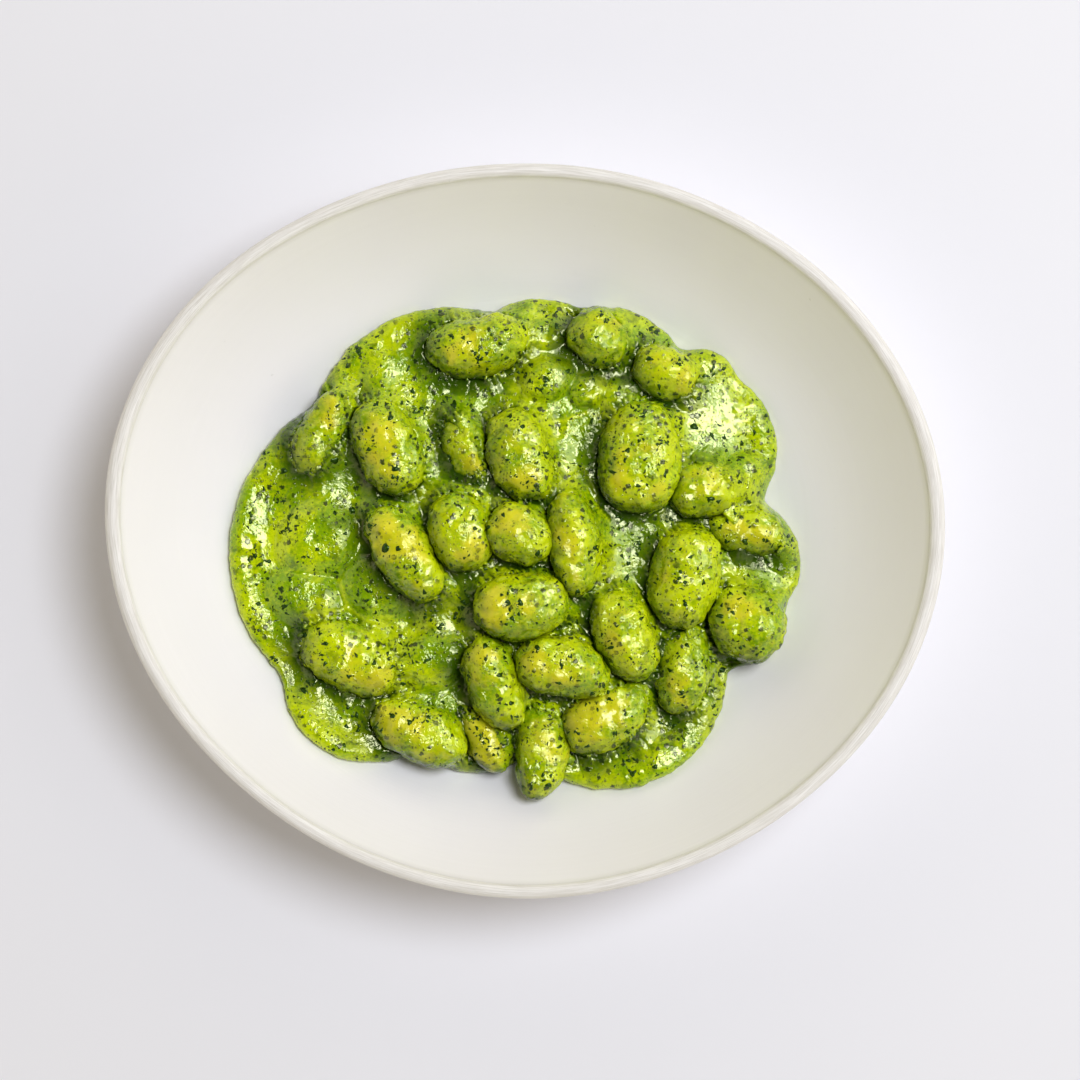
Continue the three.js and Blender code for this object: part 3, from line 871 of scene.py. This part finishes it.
class DISH_OT_make_bowl(bpy.types.Operator):
    """Turns the stoneware bowl"""

    bl_idname = "dish.make_bowl"
    bl_label = "Make bowl"

    def execute(self, context):
        settings = context.scene.dish_bowl
        section = bowl_section()
        rings, sides = len(section), settings.sides
        steps = np.hypot(*(section[1:] - section[:-1]).T)
        travelled = np.concatenate(([0.0], np.cumsum(steps)))
        angle = turns_of(sides)
        rim = rim_radius(angle)

        crown = np.argmax(section[:, 1])
        top = travelled[crown]
        at_lip = bell(travelled - top, LIP_REACH)
        inside = (travelled < top) & (section[:, 0] > 8)
        lines = np.sin(travelled * THROWING_PITCH + 0.8 * np.sin(travelled * 0.37))
        throwing = settings.throwing / MM * lines * inside * (1 - at_lip)
        sway = settings.wobble / MM
        swing = np.minimum(sway * stray(angle, RIM_SWINGS), 0.25 * sway)
        breadth = sway * stray(angle, RIM_BREADTHS)

        points = [(*BOWL_MIDDLE, FLOOR_HEIGHT)]
        for (mean, height), lip, lift in zip(section, at_lip, throwing):
            radius = rim * mean / MEAN_RADIUS + lip * breadth * 0.6
            x = BOWL_MIDDLE[0] + radius * np.cos(angle)
            y = BOWL_MIDDLE[1] + radius * np.sin(angle)
            points.extend(np.column_stack((x, y, height + lift + lip * swing)).tolist())
        points.append((*BOWL_MIDDLE, FOOT_RECESS))

        faces = []
        last = len(points) - 1
        for i in range(sides):
            beside = (i + 1) % sides
            faces.append((0, 1 + i, 1 + beside))
            faces.append((last, last - sides + beside, last - sides + i))
            for ring in range(rings - 1):
                a = 1 + ring * sides
                b = a + sides
                faces.append((a + i, b + i, b + beside, a + beside))
        piece = object_from("oval_stoneware_bowl", points, faces)

        band = smooth_step(BAND_WIDTH - np.abs(travelled - top))
        heights = section[:, 1]
        foot = smooth_step((FOOT_BAND - heights) / 0.6) * (np.arange(rings) > crown)
        foot = np.where(heights < 0.5, 1.0, foot)
        for name, values in (("rim", band), ("foot", foot), ("section", travelled)):
            spread = np.repeat(values, sides)
            set_attribute(piece, name, [values[0], *spread, values[-1]])
        piece.data.materials.append(stoneware_material(settings))
        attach(piece, BODY)
        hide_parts("bowl")
        return {"FINISHED"}


# ---------------- dumplings

# How each dumpling's sauce film has slipped, in the order of their numbers:
# (bare share, direction in degrees that it bared).
FILMS = (
    (1.2, 200),
    (0.65, 150),
    (0.5, 0),
    (0.4, 270),
    (0.6, 250),
    (0.4, 290),
    (0.55, 110),
    (0.58, 200),
    (0.5, 280),
    (0.5, 10),
    (0.55, 0),
    (0.35, 200),
    (0.5, 90),
    (0.5, 150),
    (0.4, 310),
    (0.35, 270),
    (0.4, 230),
    (0.2, 90),
    (0.2, 180),
    (0.5, 120),
    (0.7, 130),
    (0.35, 200),
    (0.42, 160),
    (0.5, 180),
    (0.5, 170),
    (0.45, 120),
)
# Which way the sauce climbs the dumplings most, toward the light; their other side lies in shade,
# and shade is painted there.
CLIMB_SIDE = np.array((0.75, 0.66))
DOUGH_LUMP_WIDTH = 6.5
FILM_RIPPLE_WIDTH = 2.3
FILM_PATCH_WIDTH = 9.0
FILM_EDGE = 3.0  # the film stays on this near a dumpling's outline
CREASE_GAP = 1.3  # between two dumplings whose crease gets painted shade
CREASE_REACH = 4.0  # past which another dumpling isn't looked for
PAINTED_SHADE_BAND = 6.0  # of painted shade along a dumpling's outline away from the light


def softened(node, settings):
    """A rounded, finely meshed copy of a faceted solid."""
    rough = node.copy()
    rough.data = node.data.copy()
    bpy.context.scene.collection.objects.link(rough)
    rough.modifiers.clear()
    remesh = rough.modifiers.new("remesh", "REMESH")
    remesh.mode = "VOXEL"
    remesh.voxel_size = settings.voxel
    smooth = rough.modifiers.new("smooth", "SMOOTH")
    smooth.factor = 0.5
    smooth.iterations = settings.softness
    finer = rough.modifiers.new("finer", "SUBSURF")
    finer.levels = finer.render_levels = 1
    graph = bpy.context.evaluated_depsgraph_get()
    mesh = bpy.data.meshes.new_from_object(rough.evaluated_get(graph))
    old = rough.data
    bpy.data.objects.remove(rough)
    bpy.data.meshes.remove(old)
    return mesh


def from_outline(places):
    """Distance in from a dumpling's outline seen from above, and the side it lies on."""
    angle = turns_of(72)
    sides = np.column_stack((np.cos(angle), np.sin(angle)))
    along = places[:, :2] @ sides.T
    inward = along.max(axis=0) - along
    return inward.min(axis=1), sides[inward.argmin(axis=1)]


def film_cover(places, bare, turn, seed):
    """How much sauce covers each point of a dumpling, from 0 to 1."""
    high, low = places.max(axis=0), places.min(axis=0)
    away = (places - (high + low) / 2) / ((high - low) / 2).max()
    turn = math.radians(turn)
    toward = away[:, 0] * math.cos(turn) + away[:, 1] * math.sin(turn)
    cloud = noise_at(places, FILM_PATCH_WIDTH, seed, 2)
    at_edge = bell(from_outline(places)[0], FILM_EDGE)
    shown = bare * 1.5 + 0.7 * toward + 0.9 * cloud + 0.2 - 0.9 * at_edge
    return 1.0 - smooth_step((shown - 0.5) / 1.1)


def crease_cover(places, others):
    """Painted shade at each point of a dumpling, from 0 to 1: near other dumplings and along its
    outline away from the light.
    """
    found = [others.find_nearest(place, CREASE_REACH)[3] for place in places.tolist()]
    near = np.array([CREASE_REACH if away is None else away for away in found])
    edge, side = from_outline(places)
    shade = smooth_step(0.45 - 0.7 * (side @ CLIMB_SIDE))
    band = bell(edge, 0.6 + 3.0 * shade) * shade
    broad = 0.74 * bell(edge, PAINTED_SHADE_BAND) * shade
    uneven = np.clip(0.9 + 0.6 * noise_at(places, 3.2, 5.0, 2), 0.0, 1.0)
    close = bell(near, CREASE_GAP) * (0.3 + 0.55 * shade)
    return np.maximum(close, np.maximum(band, broad) * uneven)


class DISH_OT_make_dumplings(bpy.types.Operator):
    """Shapes the potato dumplings and their film of sauce"""

    bl_idname = "dish.make_dumplings"
    bl_label = "Make dumplings"

    def execute(self, context):
        settings = context.scene.dish_dumplings
        plump, lumps, skin = settings.plump / MM, settings.lumps / MM, settings.film / MM
        material = dough_material(settings, context.scene.dish_sauce)
        made = []
        for number, name in enumerate(DUMPLINGS):
            mesh = softened(NODES[name], settings)
            mesh.name = "dumpling_" + name[-2:]
            places = places_of(mesh)
            film = film_cover(places, *FILMS[number], number)
            lift = plump + lumps * noise_at(places, DOUGH_LUMP_WIDTH, 40 + number, 2)
            ripples = noise_at(places, FILM_RIPPLE_WIDTH, 80 + number, 2)
            ripples = skin * ripples * (0.4 + 0.8 * film)
            lift = (lift + ripples + 0.5 * skin * film)[:, None]
            moved = (places + vectors_of(mesh.vertex_normals, "vector") * lift) * MM
            mesh.vertices.foreach_set("co", moved.astype(np.float32).ravel())
            mesh.update()
            piece = bpy.data.objects.new(mesh.name, mesh)
            context.scene.collection.objects.link(piece)
            mesh.shade_smooth()
            set_attribute(piece, "film", film)
            mesh.materials.clear()
            mesh.materials.append(material)
            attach(piece, BODY)
            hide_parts(name)
            made.append(piece)
        # Painted shade in the creases between dumplings and along their outlines away from the
        # light.
        for piece in made:
            others = tree_of([other for other in made if other is not piece])
            set_attribute(piece, "crease", crease_cover(places_of(piece.data), others))
        return {"FINISHED"}


# ---------------- sauce

OUTLINE_STEPS = 1440
# The outermost rings of the surface, as shares of its reach: close together where it rounds.
EDGE_RINGS = (1.0, 0.9992, 0.9975, 0.995, 0.9915, 0.9875, 0.982, 0.9755)
# The rings of the underside: (share of the reach, points in the ring).
UNDER_RINGS = ((0.985, 420), (0.93, 260), (0.82, 180), (0.66, 120), (0.45, 80), (0.2, 40))
ABOVE_GLAZE = 0.06

# The widths of the surface's unevenness.
WAVE_WIDTH = 9.0
LUMP_WIDTH = 4.2
GRAIN_WIDTH = 1.7
PATCH_WIDTH = 7.0  # of the places where the sauce climbs and drapes more
LEVEL_EDGE = 4.0  # the unevenness fades out this near the sauce's edge
LOW_EDGE = 2.5  # and so do the climb and the drape
# The skin over a dumpling's far edge: its thickness, how soon it bends down, and its width.
SKIN = 0.15
SKIN_BEND = 1.3
SKIN_WIDTH = 2.6
SKIN_FADE = 1.5  # how soon the skin's pale colour fades
SHALLOW = 2.4  # depth at which the sauce's colour is no longer pale
UNDER_GAP = 0.1  # between a dumpling's underside and the sauce below it
LEAST_DEPTH = 0.3  # of that sauce below it
PAINTED_CREASE_WIDTH = 4.0  # of the painted shade in the crease beside a dumpling
PAINTED_BROAD_SHADE_WIDTH = 8.0  # of the broader painted shade round that

# Thin folds where sheets of sauce have met, each with a painted highlight along it: (the points of
# its line, height).
RIDGES = (
    (
        (
            (43.3, 38.7),
            (47.8, 32.0),
            (49.8, 26.9),
            (49.0, 22.4),
            (47.1, 17.3),
            (44.6, 10.0),
            (36.6, 5.2),
        ),
        0.96,
    ),
    (((-59.2, -15.6), (-58.0, -20.0), (-56.7, -24.5)), 0.84),
    (((-70.4, -26.7), (-63.5, -26.4), (-56.7, -24.5)), 0.84),
    (((-44.8, -29.9), (-51.0, -28.2), (-56.7, -24.5)), 0.84),
    (((63.7, -11.7), (70.5, -17.6), (78.1, -21.9)), 0.72),
    (((5.6, 34.6), (12.6, 35.2), (20.3, 38.1)), 0.6),
    (((18.7, 20.2), (22.2, 12.5), (23.8, 6.5)), 0.72),
)
RIDGE_WIDTH = 0.65

# Calm pools that lean toward the window and mirror it: (x, y, radius).
SLICKS = (
    (59, 36, 11),
    (-42, 49, 9),
    (-67, 44, 6),
    (-59, 12, 8),
    (-87, 6.5, 9),
    (-25, -29, 7),
    (2.5, 25, 7),
    (-78, -46, 8),
    (70, 47, 6),
    (46, -74, 7),
    (12, -70, 6),
    (-12, -75, 6),
    (48, 61, 6),
    (17, 73, 6),
    (66, -46, 5),
    (60, -8, 5),
)
SLICK_HOLD = 0.85  # how nearly flat such a pool is
SLICK_CALM = 0.55  # how much it smooths the lumps and the grain
SLICK_SLOPE = 0.19
SLICK_SIDE = (0.83, 0.56)


def distance_to_line(x, y, line):
    """Distance from places to a line of several stretches."""
    best = np.full_like(x, 1e3)
    for (ax, ay), (bx, by) in zip(line, line[1:]):
        dx, dy = bx - ax, by - ay
        along = np.clip(((x - ax) * dx + (y - ay) * dy) / (dx * dx + dy * dy), 0.0, 1.0)
        best = np.minimum(best, np.hypot(x - ax - along * dx, y - ay - along * dy))
    return best


def sides_at(tree, x, y):
    """The highest and the lowest height of the dumplings over a place; past the sky if none."""
    over = tree.ray_cast(Vector((x, y, SKY)), DOWN)[0]
    if over is None:
        return -SKY, SKY
    return over.z, tree.ray_cast(Vector((x, y, -SKY)), UP)[0].z


def nearest_of(places, chosen):
    """For each place, how far the nearest of the chosen places is, and which it is."""
    rows = places.tolist()
    picks = np.nonzero(chosen)[0]
    near = KDTree(len(picks))
    for index, pick in enumerate(picks):
        near.insert(rows[pick], index)
    near.balance()
    found = [near.find(row) for row in rows]
    return np.array([item[2] for item in found]), picks[[item[1] for item in found]]


def closed_blur(values, width):
    """Smooths a closed ring of values with a bell curve, width in samples."""
    reach = int(3 * width)
    weights = np.exp(-0.5 * (np.arange(-reach, reach + 1) / width) ** 2)
    padded = np.concatenate((values[-reach:], values, values[:reach]))
    return np.convolve(padded, weights / weights.sum(), mode="valid")


def sauce_outline(settings):
    """How far the sauce reaches in each of some directions, with its uneven edge."""
    angle = turns_of(OUTLINE_STEPS)
    outline = closed_blur(sauce_reach(angle), 5.0)
    edge = np.column_stack((outline * np.cos(angle), outline * np.sin(angle), 0 * angle))
    wander = noise_at(edge, 5.5, 3.0, 3) + 0.5 * noise_at(edge, 2.0, 4.0, 1)
    return outline + settings.wander / MM * wander


def sauce_ring(outline, part, number):
    """A ring at a share of the sauce's reach: rows of x, y and the distance from its edge."""
    angle = turns_of(number)
    steps = np.append(turns_of(len(outline)), 2 * math.pi)
    reach = np.interp(angle, steps, np.append(outline, outline[0]))
    x = SAUCE_MIDDLE[0] + part * reach * np.cos(angle)
    y = SAUCE_MIDDLE[1] + part * reach * np.sin(angle)
    return np.column_stack((x, y, (1 - part) * reach))


def surface_rings(outline, spacing):
    """The rows of all the surface's rings, from its edge inwards, and (start, count) of each."""
    mean_reach = outline.mean()
    shares = list(EDGE_RINGS)
    while shares[-1] > 1.5 * spacing / mean_reach:
        shares.append(shares[-1] - spacing / mean_reach)
    rings, rows = [], []
    for part in shares:
        number = max(12, int(round(2 * math.pi * part * mean_reach / spacing)))
        rings.append((sum(len(row) for row in rows), number))
        rows.append(sauce_ring(outline, part, number))
    return np.concatenate(rows + [np.array([[*SAUCE_MIDDLE, mean_reach]])]), rings


def poured_level(settings, ground, from_edge, edge_count):
    """The sauce's height before it meets the dumplings, where it is calm, and where a highlight is
    painted along its folds.
    """
    x, y, _ = ground.T
    level = seat_height(x, y) + GAP + sauce_depth(x, y, from_edge)
    level[:edge_count] = floor_height(x, y)[:edge_count] + ABOVE_GLAZE
    easing = smooth_step(from_edge / LEVEL_EDGE)
    level += easing * settings.waves / MM * noise_at(ground, WAVE_WIDTH, 9.0, 2)
    calm, painted_ridge_highlight = np.zeros_like(x), np.zeros_like(x)
    for sx, sy, radius in SLICKS:
        dx, dy = x - sx, y - sy
        away = np.hypot(dx, dy)
        fall = SLICK_SLOPE * (dx * SLICK_SIDE[0] + dy * SLICK_SIDE[1])
        held = SLICK_HOLD * np.exp(-((away / radius) ** 4)) * easing
        level += held * (level[np.argmin(away)] - fall - level)
        calm = np.maximum(calm, held)
    loose = easing * (1.0 - SLICK_CALM * calm)
    level += loose * settings.lumps / MM * noise_at(ground, LUMP_WIDTH, 11.0, 1)
    # The ridges rise, and their mask becomes a painted highlight.
    for line, rise in RIDGES:
        ridge = easing * bell(distance_to_line(x, y, line), RIDGE_WIDTH)
        level += rise * ridge
        painted_ridge_highlight = np.maximum(painted_ridge_highlight, ridge)
    level += loose * settings.grain / MM * noise_at(ground, GRAIN_WIDTH, 10.0, 2)
    return level, calm, painted_ridge_highlight


def met_level(settings, ground, from_edge, level, over, under):
    """The sauce's height where it climbs the dumplings, drapes over them or passes under them.

    Also gives how far each place is from a dumpling, how much it leans to the climbing side, and
    how much it is a thin skin.
    """
    covered = over > level
    away, nearest = nearest_of(ground, covered)
    inward, farthest = nearest_of(ground, ~covered)
    flat = np.ascontiguousarray(ground[:, :2])
    side = flat - flat[nearest]
    side[covered] = (flat[farthest] - flat)[covered]
    reached = np.where(covered, inward, away)
    lean = (side @ CLIMB_SIDE) / np.maximum(reached, 0.3)

    patchy = noise_at(ground, PATCH_WIDTH, 12.0, 1)
    easing = smooth_step(from_edge / LOW_EDGE)
    climb = settings.climb / MM * np.clip(0.55 + 0.5 * lean + 0.8 * patchy, 0.05, 1.6)
    climb = climb * np.exp(-away * MM / settings.climb_reach) * easing
    hold = smooth_step(lean / 0.7 - 0.1) * np.clip(0.85 + 1.5 * patchy, 0.0, 1.0) * easing
    rise = np.clip(over[nearest] - level - 0.3, 0.0, settings.drape / MM)
    drape = hold * rise * np.exp(-away * MM / settings.drape_reach)
    level = level + np.maximum(climb, drape)
    film = over + SKIN - 0.5 * (inward / SKIN_BEND) ** 2
    draped = np.maximum(level, level + hold * (film - level))
    level = np.where(covered & (inward < SKIN_WIDTH), draped, level)

    # Well inside a dumpling the sauce passes under it.
    tucked = np.minimum(level, under - UNDER_GAP)
    tucked = np.maximum(tucked, floor_height(*flat.T) + LEAST_DEPTH)
    level = np.where(covered & (over > level + 1.0), tucked, level)
    return level, away, lean, 0.4 * hold * np.exp(-reached / SKIN_FADE)


class DISH_OT_make_sauce(bpy.types.Operator):
    """Pours the basil sauce between the dumplings"""

    bl_idname = "dish.make_sauce"
    bl_label = "Make sauce"

    def execute(self, context):
        settings = context.scene.dish_sauce
        outline = sauce_outline(settings)
        rows, rings = surface_rings(outline, settings.spacing / MM)
        x, y, from_edge = rows.T
        ground = np.column_stack((x, y, np.zeros_like(x)))
        level, calm, painted_ridge_highlight = poured_level(settings, ground, from_edge, rings[0][1])
        tree = tree_of(pieces_named("dumpling_"))
        over, under = np.array([sides_at(tree, px, py) for px, py in zip(x, y)]).T
        level, away, lean, skin = met_level(settings, ground, from_edge, level, over, under)

        points = np.column_stack((x, y, level)).tolist()
        faces = []
        for outer, inner in zip(rings, rings[1:]):
            faces.extend(stitch(*outer, *inner))
        start, number = rings[-1]
        middle = len(points) - 1
        faces.extend((start + i, start + (i + 1) % number, middle) for i in range(number))

        # The underside lies just above the glaze.
        outer = rings[0]
        for part, number in UNDER_RINGS:
            low = sauce_ring(outline, part, number)[:, :2]
            inner = (len(points), number)
            points.extend(np.column_stack((low, floor_height(*low.T) + ABOVE_GLAZE)).tolist())
            faces.extend((a, c, b) for a, b, c in stitch(*outer, *inner))
            outer = inner
        points.append((*SAUCE_MIDDLE, FLOOR_HEIGHT + ABOVE_GLAZE))
        start, number = outer
        centre = len(points) - 1
        faces.extend((start + (i + 1) % number, start + i, centre) for i in range(number))
        piece = object_from("poured_basil_sauce", points, faces)

        shallow = np.exp(-(level - floor_height(x, y)) / SHALLOW)
        # Pale where the sauce is shallow or a thin skin, and a painted highlight along the ridges.
        thin = np.maximum(np.maximum(shallow, painted_ridge_highlight), skin)
        # Painted shade: dark in the crease beside each dumpling, on its side away from the light.
        crease = 0.97 * bell(away, PAINTED_CREASE_WIDTH) * smooth_step(0.64 - 0.75 * lean)
        # Painted shade: a broader darker green round each dumpling, strongest on the side away
        # from the light.
        deep = 0.95 * bell(away, PAINTED_BROAD_SHADE_WIDTH) * smooth_step(0.72 - 0.55 * lean)
        deep *= np.clip(0.75 + 0.7 * noise_at(ground, 8.0, 14.0, 2), 0.0, 1.0)
        for name, values, below in (
            ("crease", crease, 0.0),
            ("deep", deep, 0.0),
            ("thin", thin, 1.0),
            ("calm", calm, 0.0),
        ):
            underside = np.full(len(points) - len(values), below)
            set_attribute(piece, name, np.append(values, underside))
        piece.data.materials.append(sauce_material(settings))
        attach(piece, BODY)
        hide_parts("pesto_sauce")
        return {"FINISHED"}


# ---------------- leaf scraps

LARGE_SCRAP = (0.9, 1.5)  # least and most radius
SMALL_SCRAP = (0.18, 0.8)  # least radius, and what the largest adds to it
STREWN_RADIUS = 104  # of the round that small scraps are tried in
SCRAP_ROOT = 0.25  # how deep a scrap's rim reaches into the sauce
LEAST_DEPTH_HELD = 0.6  # of the food under a scrap
STEEPEST = 0.35  # the least upward lean of the food under a scrap


def from_middle(away, angle):
    """The place at a distance and in a direction from the sauce's middle."""
    return SAUCE_MIDDLE[0] + away * math.cos(angle), SAUCE_MIDDLE[1] + away * math.sin(angle)


def scrap_places(settings, draw):
    """Where the scraps lie: large ones evenly, small ones in clusters; rows of x, y, radius."""
    places = []
    for i in range(SCRAP_PLACES):
        place = from_middle(SCRAP_PITCH * math.sqrt(i + 0.5), math.radians(i * SCRAP_TURN))
        places.append((*place, draw.uniform(*LARGE_SCRAP)))
    least, more = SMALL_SCRAP
    for _ in range(settings.small):
        angle = draw.uniform(0, 2 * math.pi)
        x, y = from_middle(STREWN_RADIUS * math.sqrt(draw.random()), angle)
        gathered = noise.fractal(Vector((x, y, 0.0)) / settings.cluster * MM, 0.8, 2.1, 3)
        if draw.random() < 0.2 + 2.2 * gathered:
            places.append((x, y, least + more * draw.random() ** 3))
    return places


def scrap(tree, place, radius, draw, thickness):
    """One thin torn scrap that follows the surface under it: points and faces, or None."""
    x, y = place
    corners = 7 if radius < 0.7 else 11
    turn = draw.uniform(0, math.pi)
    narrow = draw.uniform(0.28, 0.85)
    lobe, phase = draw.uniform(0.1, 0.3), draw.uniform(0, 2 * math.pi)
    c, s = math.cos(turn), math.sin(turn)
    spots = [(0.0, 0.0)]
    for i in range(corners):
        angle = 2 * math.pi * i / corners
        reach = radius * (1 + lobe * math.sin(3 * angle + phase)) * draw.uniform(0.72, 1.18)
        u, v = reach * math.cos(angle), reach * narrow * math.sin(angle)
        spots.append((u * c - v * s, u * s + v * c))
    tops, lows = [], []
    for index, (u, v) in enumerate(spots):
        hit = top_at(tree, x + u, y + v)
        if hit is None:
            return None
        height, normal = hit
        raised = thickness * (draw.uniform(0.0, 0.5) if index else 1.0)
        tops.append(Vector((x + u, y + v, height)) + normal * raised)
        lows.append(Vector((x + u, y + v, height)) - normal * SCRAP_ROOT)
    heights = [p.z for p in tops]
    if max(heights) - min(heights) > 2.2 * radius + 0.4:
        return None
    faces = []
    for i in range(corners):
        j = (i + 1) % corners
        faces.append((0, 1 + i, 1 + j))
        faces.append((1 + i, 1 + corners + i, 1 + corners + j, 1 + j))
    faces.append(tuple(range(2 * corners, corners, -1)))
    return tops + lows[1:], faces


class DISH_OT_strew_scraps(bpy.types.Operator):
    """Strews the scraps of basil leaf over the food"""

    bl_idname = "dish.strew_scraps"
    bl_label = "Strew leaf scraps"

    def execute(self, context):
        settings = context.scene.dish_scraps
        dough = tree_of(pieces_named("dumpling_"))
        tree = tree_of(pieces_named("dumpling_", "poured_"))
        bowl = tree_of(pieces_named("oval_stoneware_bowl"))
        draw = random.Random(settings.seed)
        points, faces, torn = [], [], []
        for x, y, radius in scrap_places(settings, draw):
            hit = top_at(tree, x, y)
            ground = top_at(bowl, x, y)
            if hit is None or hit[0] < ground[0] + LEAST_DEPTH_HELD or hit[1].z < STEEPEST:
                continue
            made = scrap(tree, (x, y), radius, draw, settings.thickness / MM)
            if made:
                start = len(points)
                points.extend(made[0])
                below = top_at(dough, x, y)
                on_dough = below is not None and below[0] > hit[0] - 0.1
                sunk = 0.0 if on_dough else min(1.0, 1.3 * draw.random())
                torn.extend([sunk] + [1.0] * (len(made[0]) - 1))
                faces.extend([tuple(start + i for i in face) for face in made[1]])
        piece = object_from("chopped_basil_scraps", points, faces)
        set_attribute(piece, "torn", torn)
        piece.data.materials.append(leaf_material(settings, context.scene.dish_sauce))
        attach(piece, BODY)
        return {"FINISHED"}


# ---------------- stage

CAMERA_PLACE = (4.65 * MM, -2.79 * MM)
CAMERA_ANGLE = 2 * math.atan(0.1674)
TABLE_HALF = 3000.0
# Where each light stands, seen from the dish: (azimuth, elevation) in degrees.
WINDOW = (12, 53)
LAMP = (32, 68)
SHEEN = (24, 57)
LIGHT_DISTANCE = 2.1
WINDOW_TINT = (0.857, 0.899, 1.0)
LAMP_TINT = (0.9, 0.928, 1.0)
ROOM_TINT = (1.0, 0.91, 0.72, 1.0)
# How much brighter the room is toward the window: across and along the dish.
ROOM_SLANT = (0.0744, 0.0296)
# Between these heights in the sky the room's light falls to a share of itself.
CEILING = (0.5, 0.8)
CEILING_LIGHT = 0.06


def add_light(name, direction, size, power, tint):
    """A round soft light that faces the dish."""
    azimuth, elevation = (math.radians(angle) for angle in direction)
    flat = math.cos(elevation)
    aim = Vector((flat * math.cos(azimuth), flat * math.sin(azimuth), math.sin(elevation)))
    light = bpy.data.lights.new(name, "AREA")
    light.shape = "DISK"
    light.size = size
    light.energy = power
    light.color = tint
    lamp = bpy.data.objects.new(name, light)
    lamp.location = aim * LIGHT_DISTANCE
    lamp.rotation_euler = aim.to_track_quat("Z", "Y").to_euler()
    bpy.context.scene.collection.objects.link(lamp)
    return lamp


class DISH_OT_set_stage(bpy.types.Operator):
    """Sets the table top, the light and the camera"""

    bl_idname = "dish.set_stage"
    bl_label = "Set stage"

    def execute(self, context):
        settings = context.scene.dish_stage
        scene = context.scene
        corners = [(-1, -1), (1, -1), (1, 1), (-1, 1)]
        points = [(x * TABLE_HALF, y * TABLE_HALF, 0) for x, y in corners]
        floor = object_from("table_top", points, [(0, 1, 2, 3)])
        floor.data.materials.append(floor_material(settings))

        add_light("window", WINDOW, settings.window_size, settings.window_power, WINDOW_TINT)
        add_light("lamp", LAMP, settings.lamp_size, settings.lamp_power, LAMP_TINT)
        sheen = add_light("sheen", SHEEN, settings.sheen_size, settings.sheen_power, LAMP_TINT)
        sheen.visible_diffuse = False
        sheen.visible_transmission = False
        food = bpy.data.collections.new("wet_food")
        for piece in pieces_named("dumpling_", "poured_", "chopped_"):
            food.objects.link(piece)
        sheen.light_linking.receiver_collection = food

        world = bpy.data.worlds.new("soft_room")
        world.use_nodes = True
        sky = Nodes(world.node_tree)
        way = sky.add("ShaderNodeTexCoord").outputs["Generated"]
        parts = sky.add("ShaderNodeSeparateXYZ", {0: way}).outputs
        glow = sky.remap(parts["Z"], *CEILING, settings.fill, CEILING_LIGHT * settings.fill)
        across, along = (sky.times(parts[i], ROOM_SLANT[i]) for i in range(2))
        slant = sky.plus(sky.plus(across, along), 1.0)
        background = world.node_tree.nodes["Background"].inputs
        sky.fill(background, {"Color": ROOM_TINT, "Strength": sky.times(glow, slant)})
        scene.world = world
        scene.view_settings.view_transform = "Standard"

        camera = bpy.data.cameras.new("camera")
        camera.sensor_fit = "HORIZONTAL"
        camera.angle = CAMERA_ANGLE
        camera.clip_start = 0.05
        camera.clip_end = 20.0
        view = bpy.data.objects.new("camera", camera)
        view.location = (*CAMERA_PLACE, settings.camera_height)
        scene.collection.objects.link(view)
        scene.camera = view
        return {"FINISHED"}


# ---------------- add-on


class DISH_PT_panel(bpy.types.Panel):
    """Lists the pieces of the dish"""

    bl_label = "Gnocchi"
    bl_idname = "DISH_PT_panel"
    bl_space_type = "VIEW_3D"
    bl_region_type = "UI"
    bl_category = "Gnocchi"

    def draw(self, context):
        for operator, settings, _ in STEPS:
            box = self.layout.box()
            box.operator(operator.bl_idname)
            group = getattr(context.scene, settings)
            for name in group.__annotations__:
                box.prop(group, name)


# The steps in their order: (operator, name of its settings, kind of its settings).
STEPS = (
    (DISH_OT_make_bowl, "dish_bowl", BowlSettings),
    (DISH_OT_make_dumplings, "dish_dumplings", DumplingSettings),
    (DISH_OT_make_sauce, "dish_sauce", SauceSettings),
    (DISH_OT_strew_scraps, "dish_scraps", ScrapSettings),
    (DISH_OT_set_stage, "dish_stage", StageSettings),
)
CLASSES = (*(step[2] for step in STEPS), *(step[0] for step in STEPS), DISH_PT_panel)


def register():
    """Adds the classes and the scene's settings."""
    for item in CLASSES:
        bpy.utils.register_class(item)
    for _, name, kind in STEPS:
        setattr(bpy.types.Scene, name, bpy.props.PointerProperty(type=kind))


def unregister():
    """Takes them away again."""
    for _, name, _ in STEPS:
        delattr(bpy.types.Scene, name)
    for item in reversed(CLASSES):
        bpy.utils.unregister_class(item)


def main():
    """Makes the whole dish."""
    register()
    bpy.ops.dish.make_bowl()
    bpy.ops.dish.make_dumplings()
    bpy.ops.dish.make_sauce()
    bpy.ops.dish.strew_scraps()
    bpy.ops.dish.set_stage()


if __name__ == "__main__":
    main()
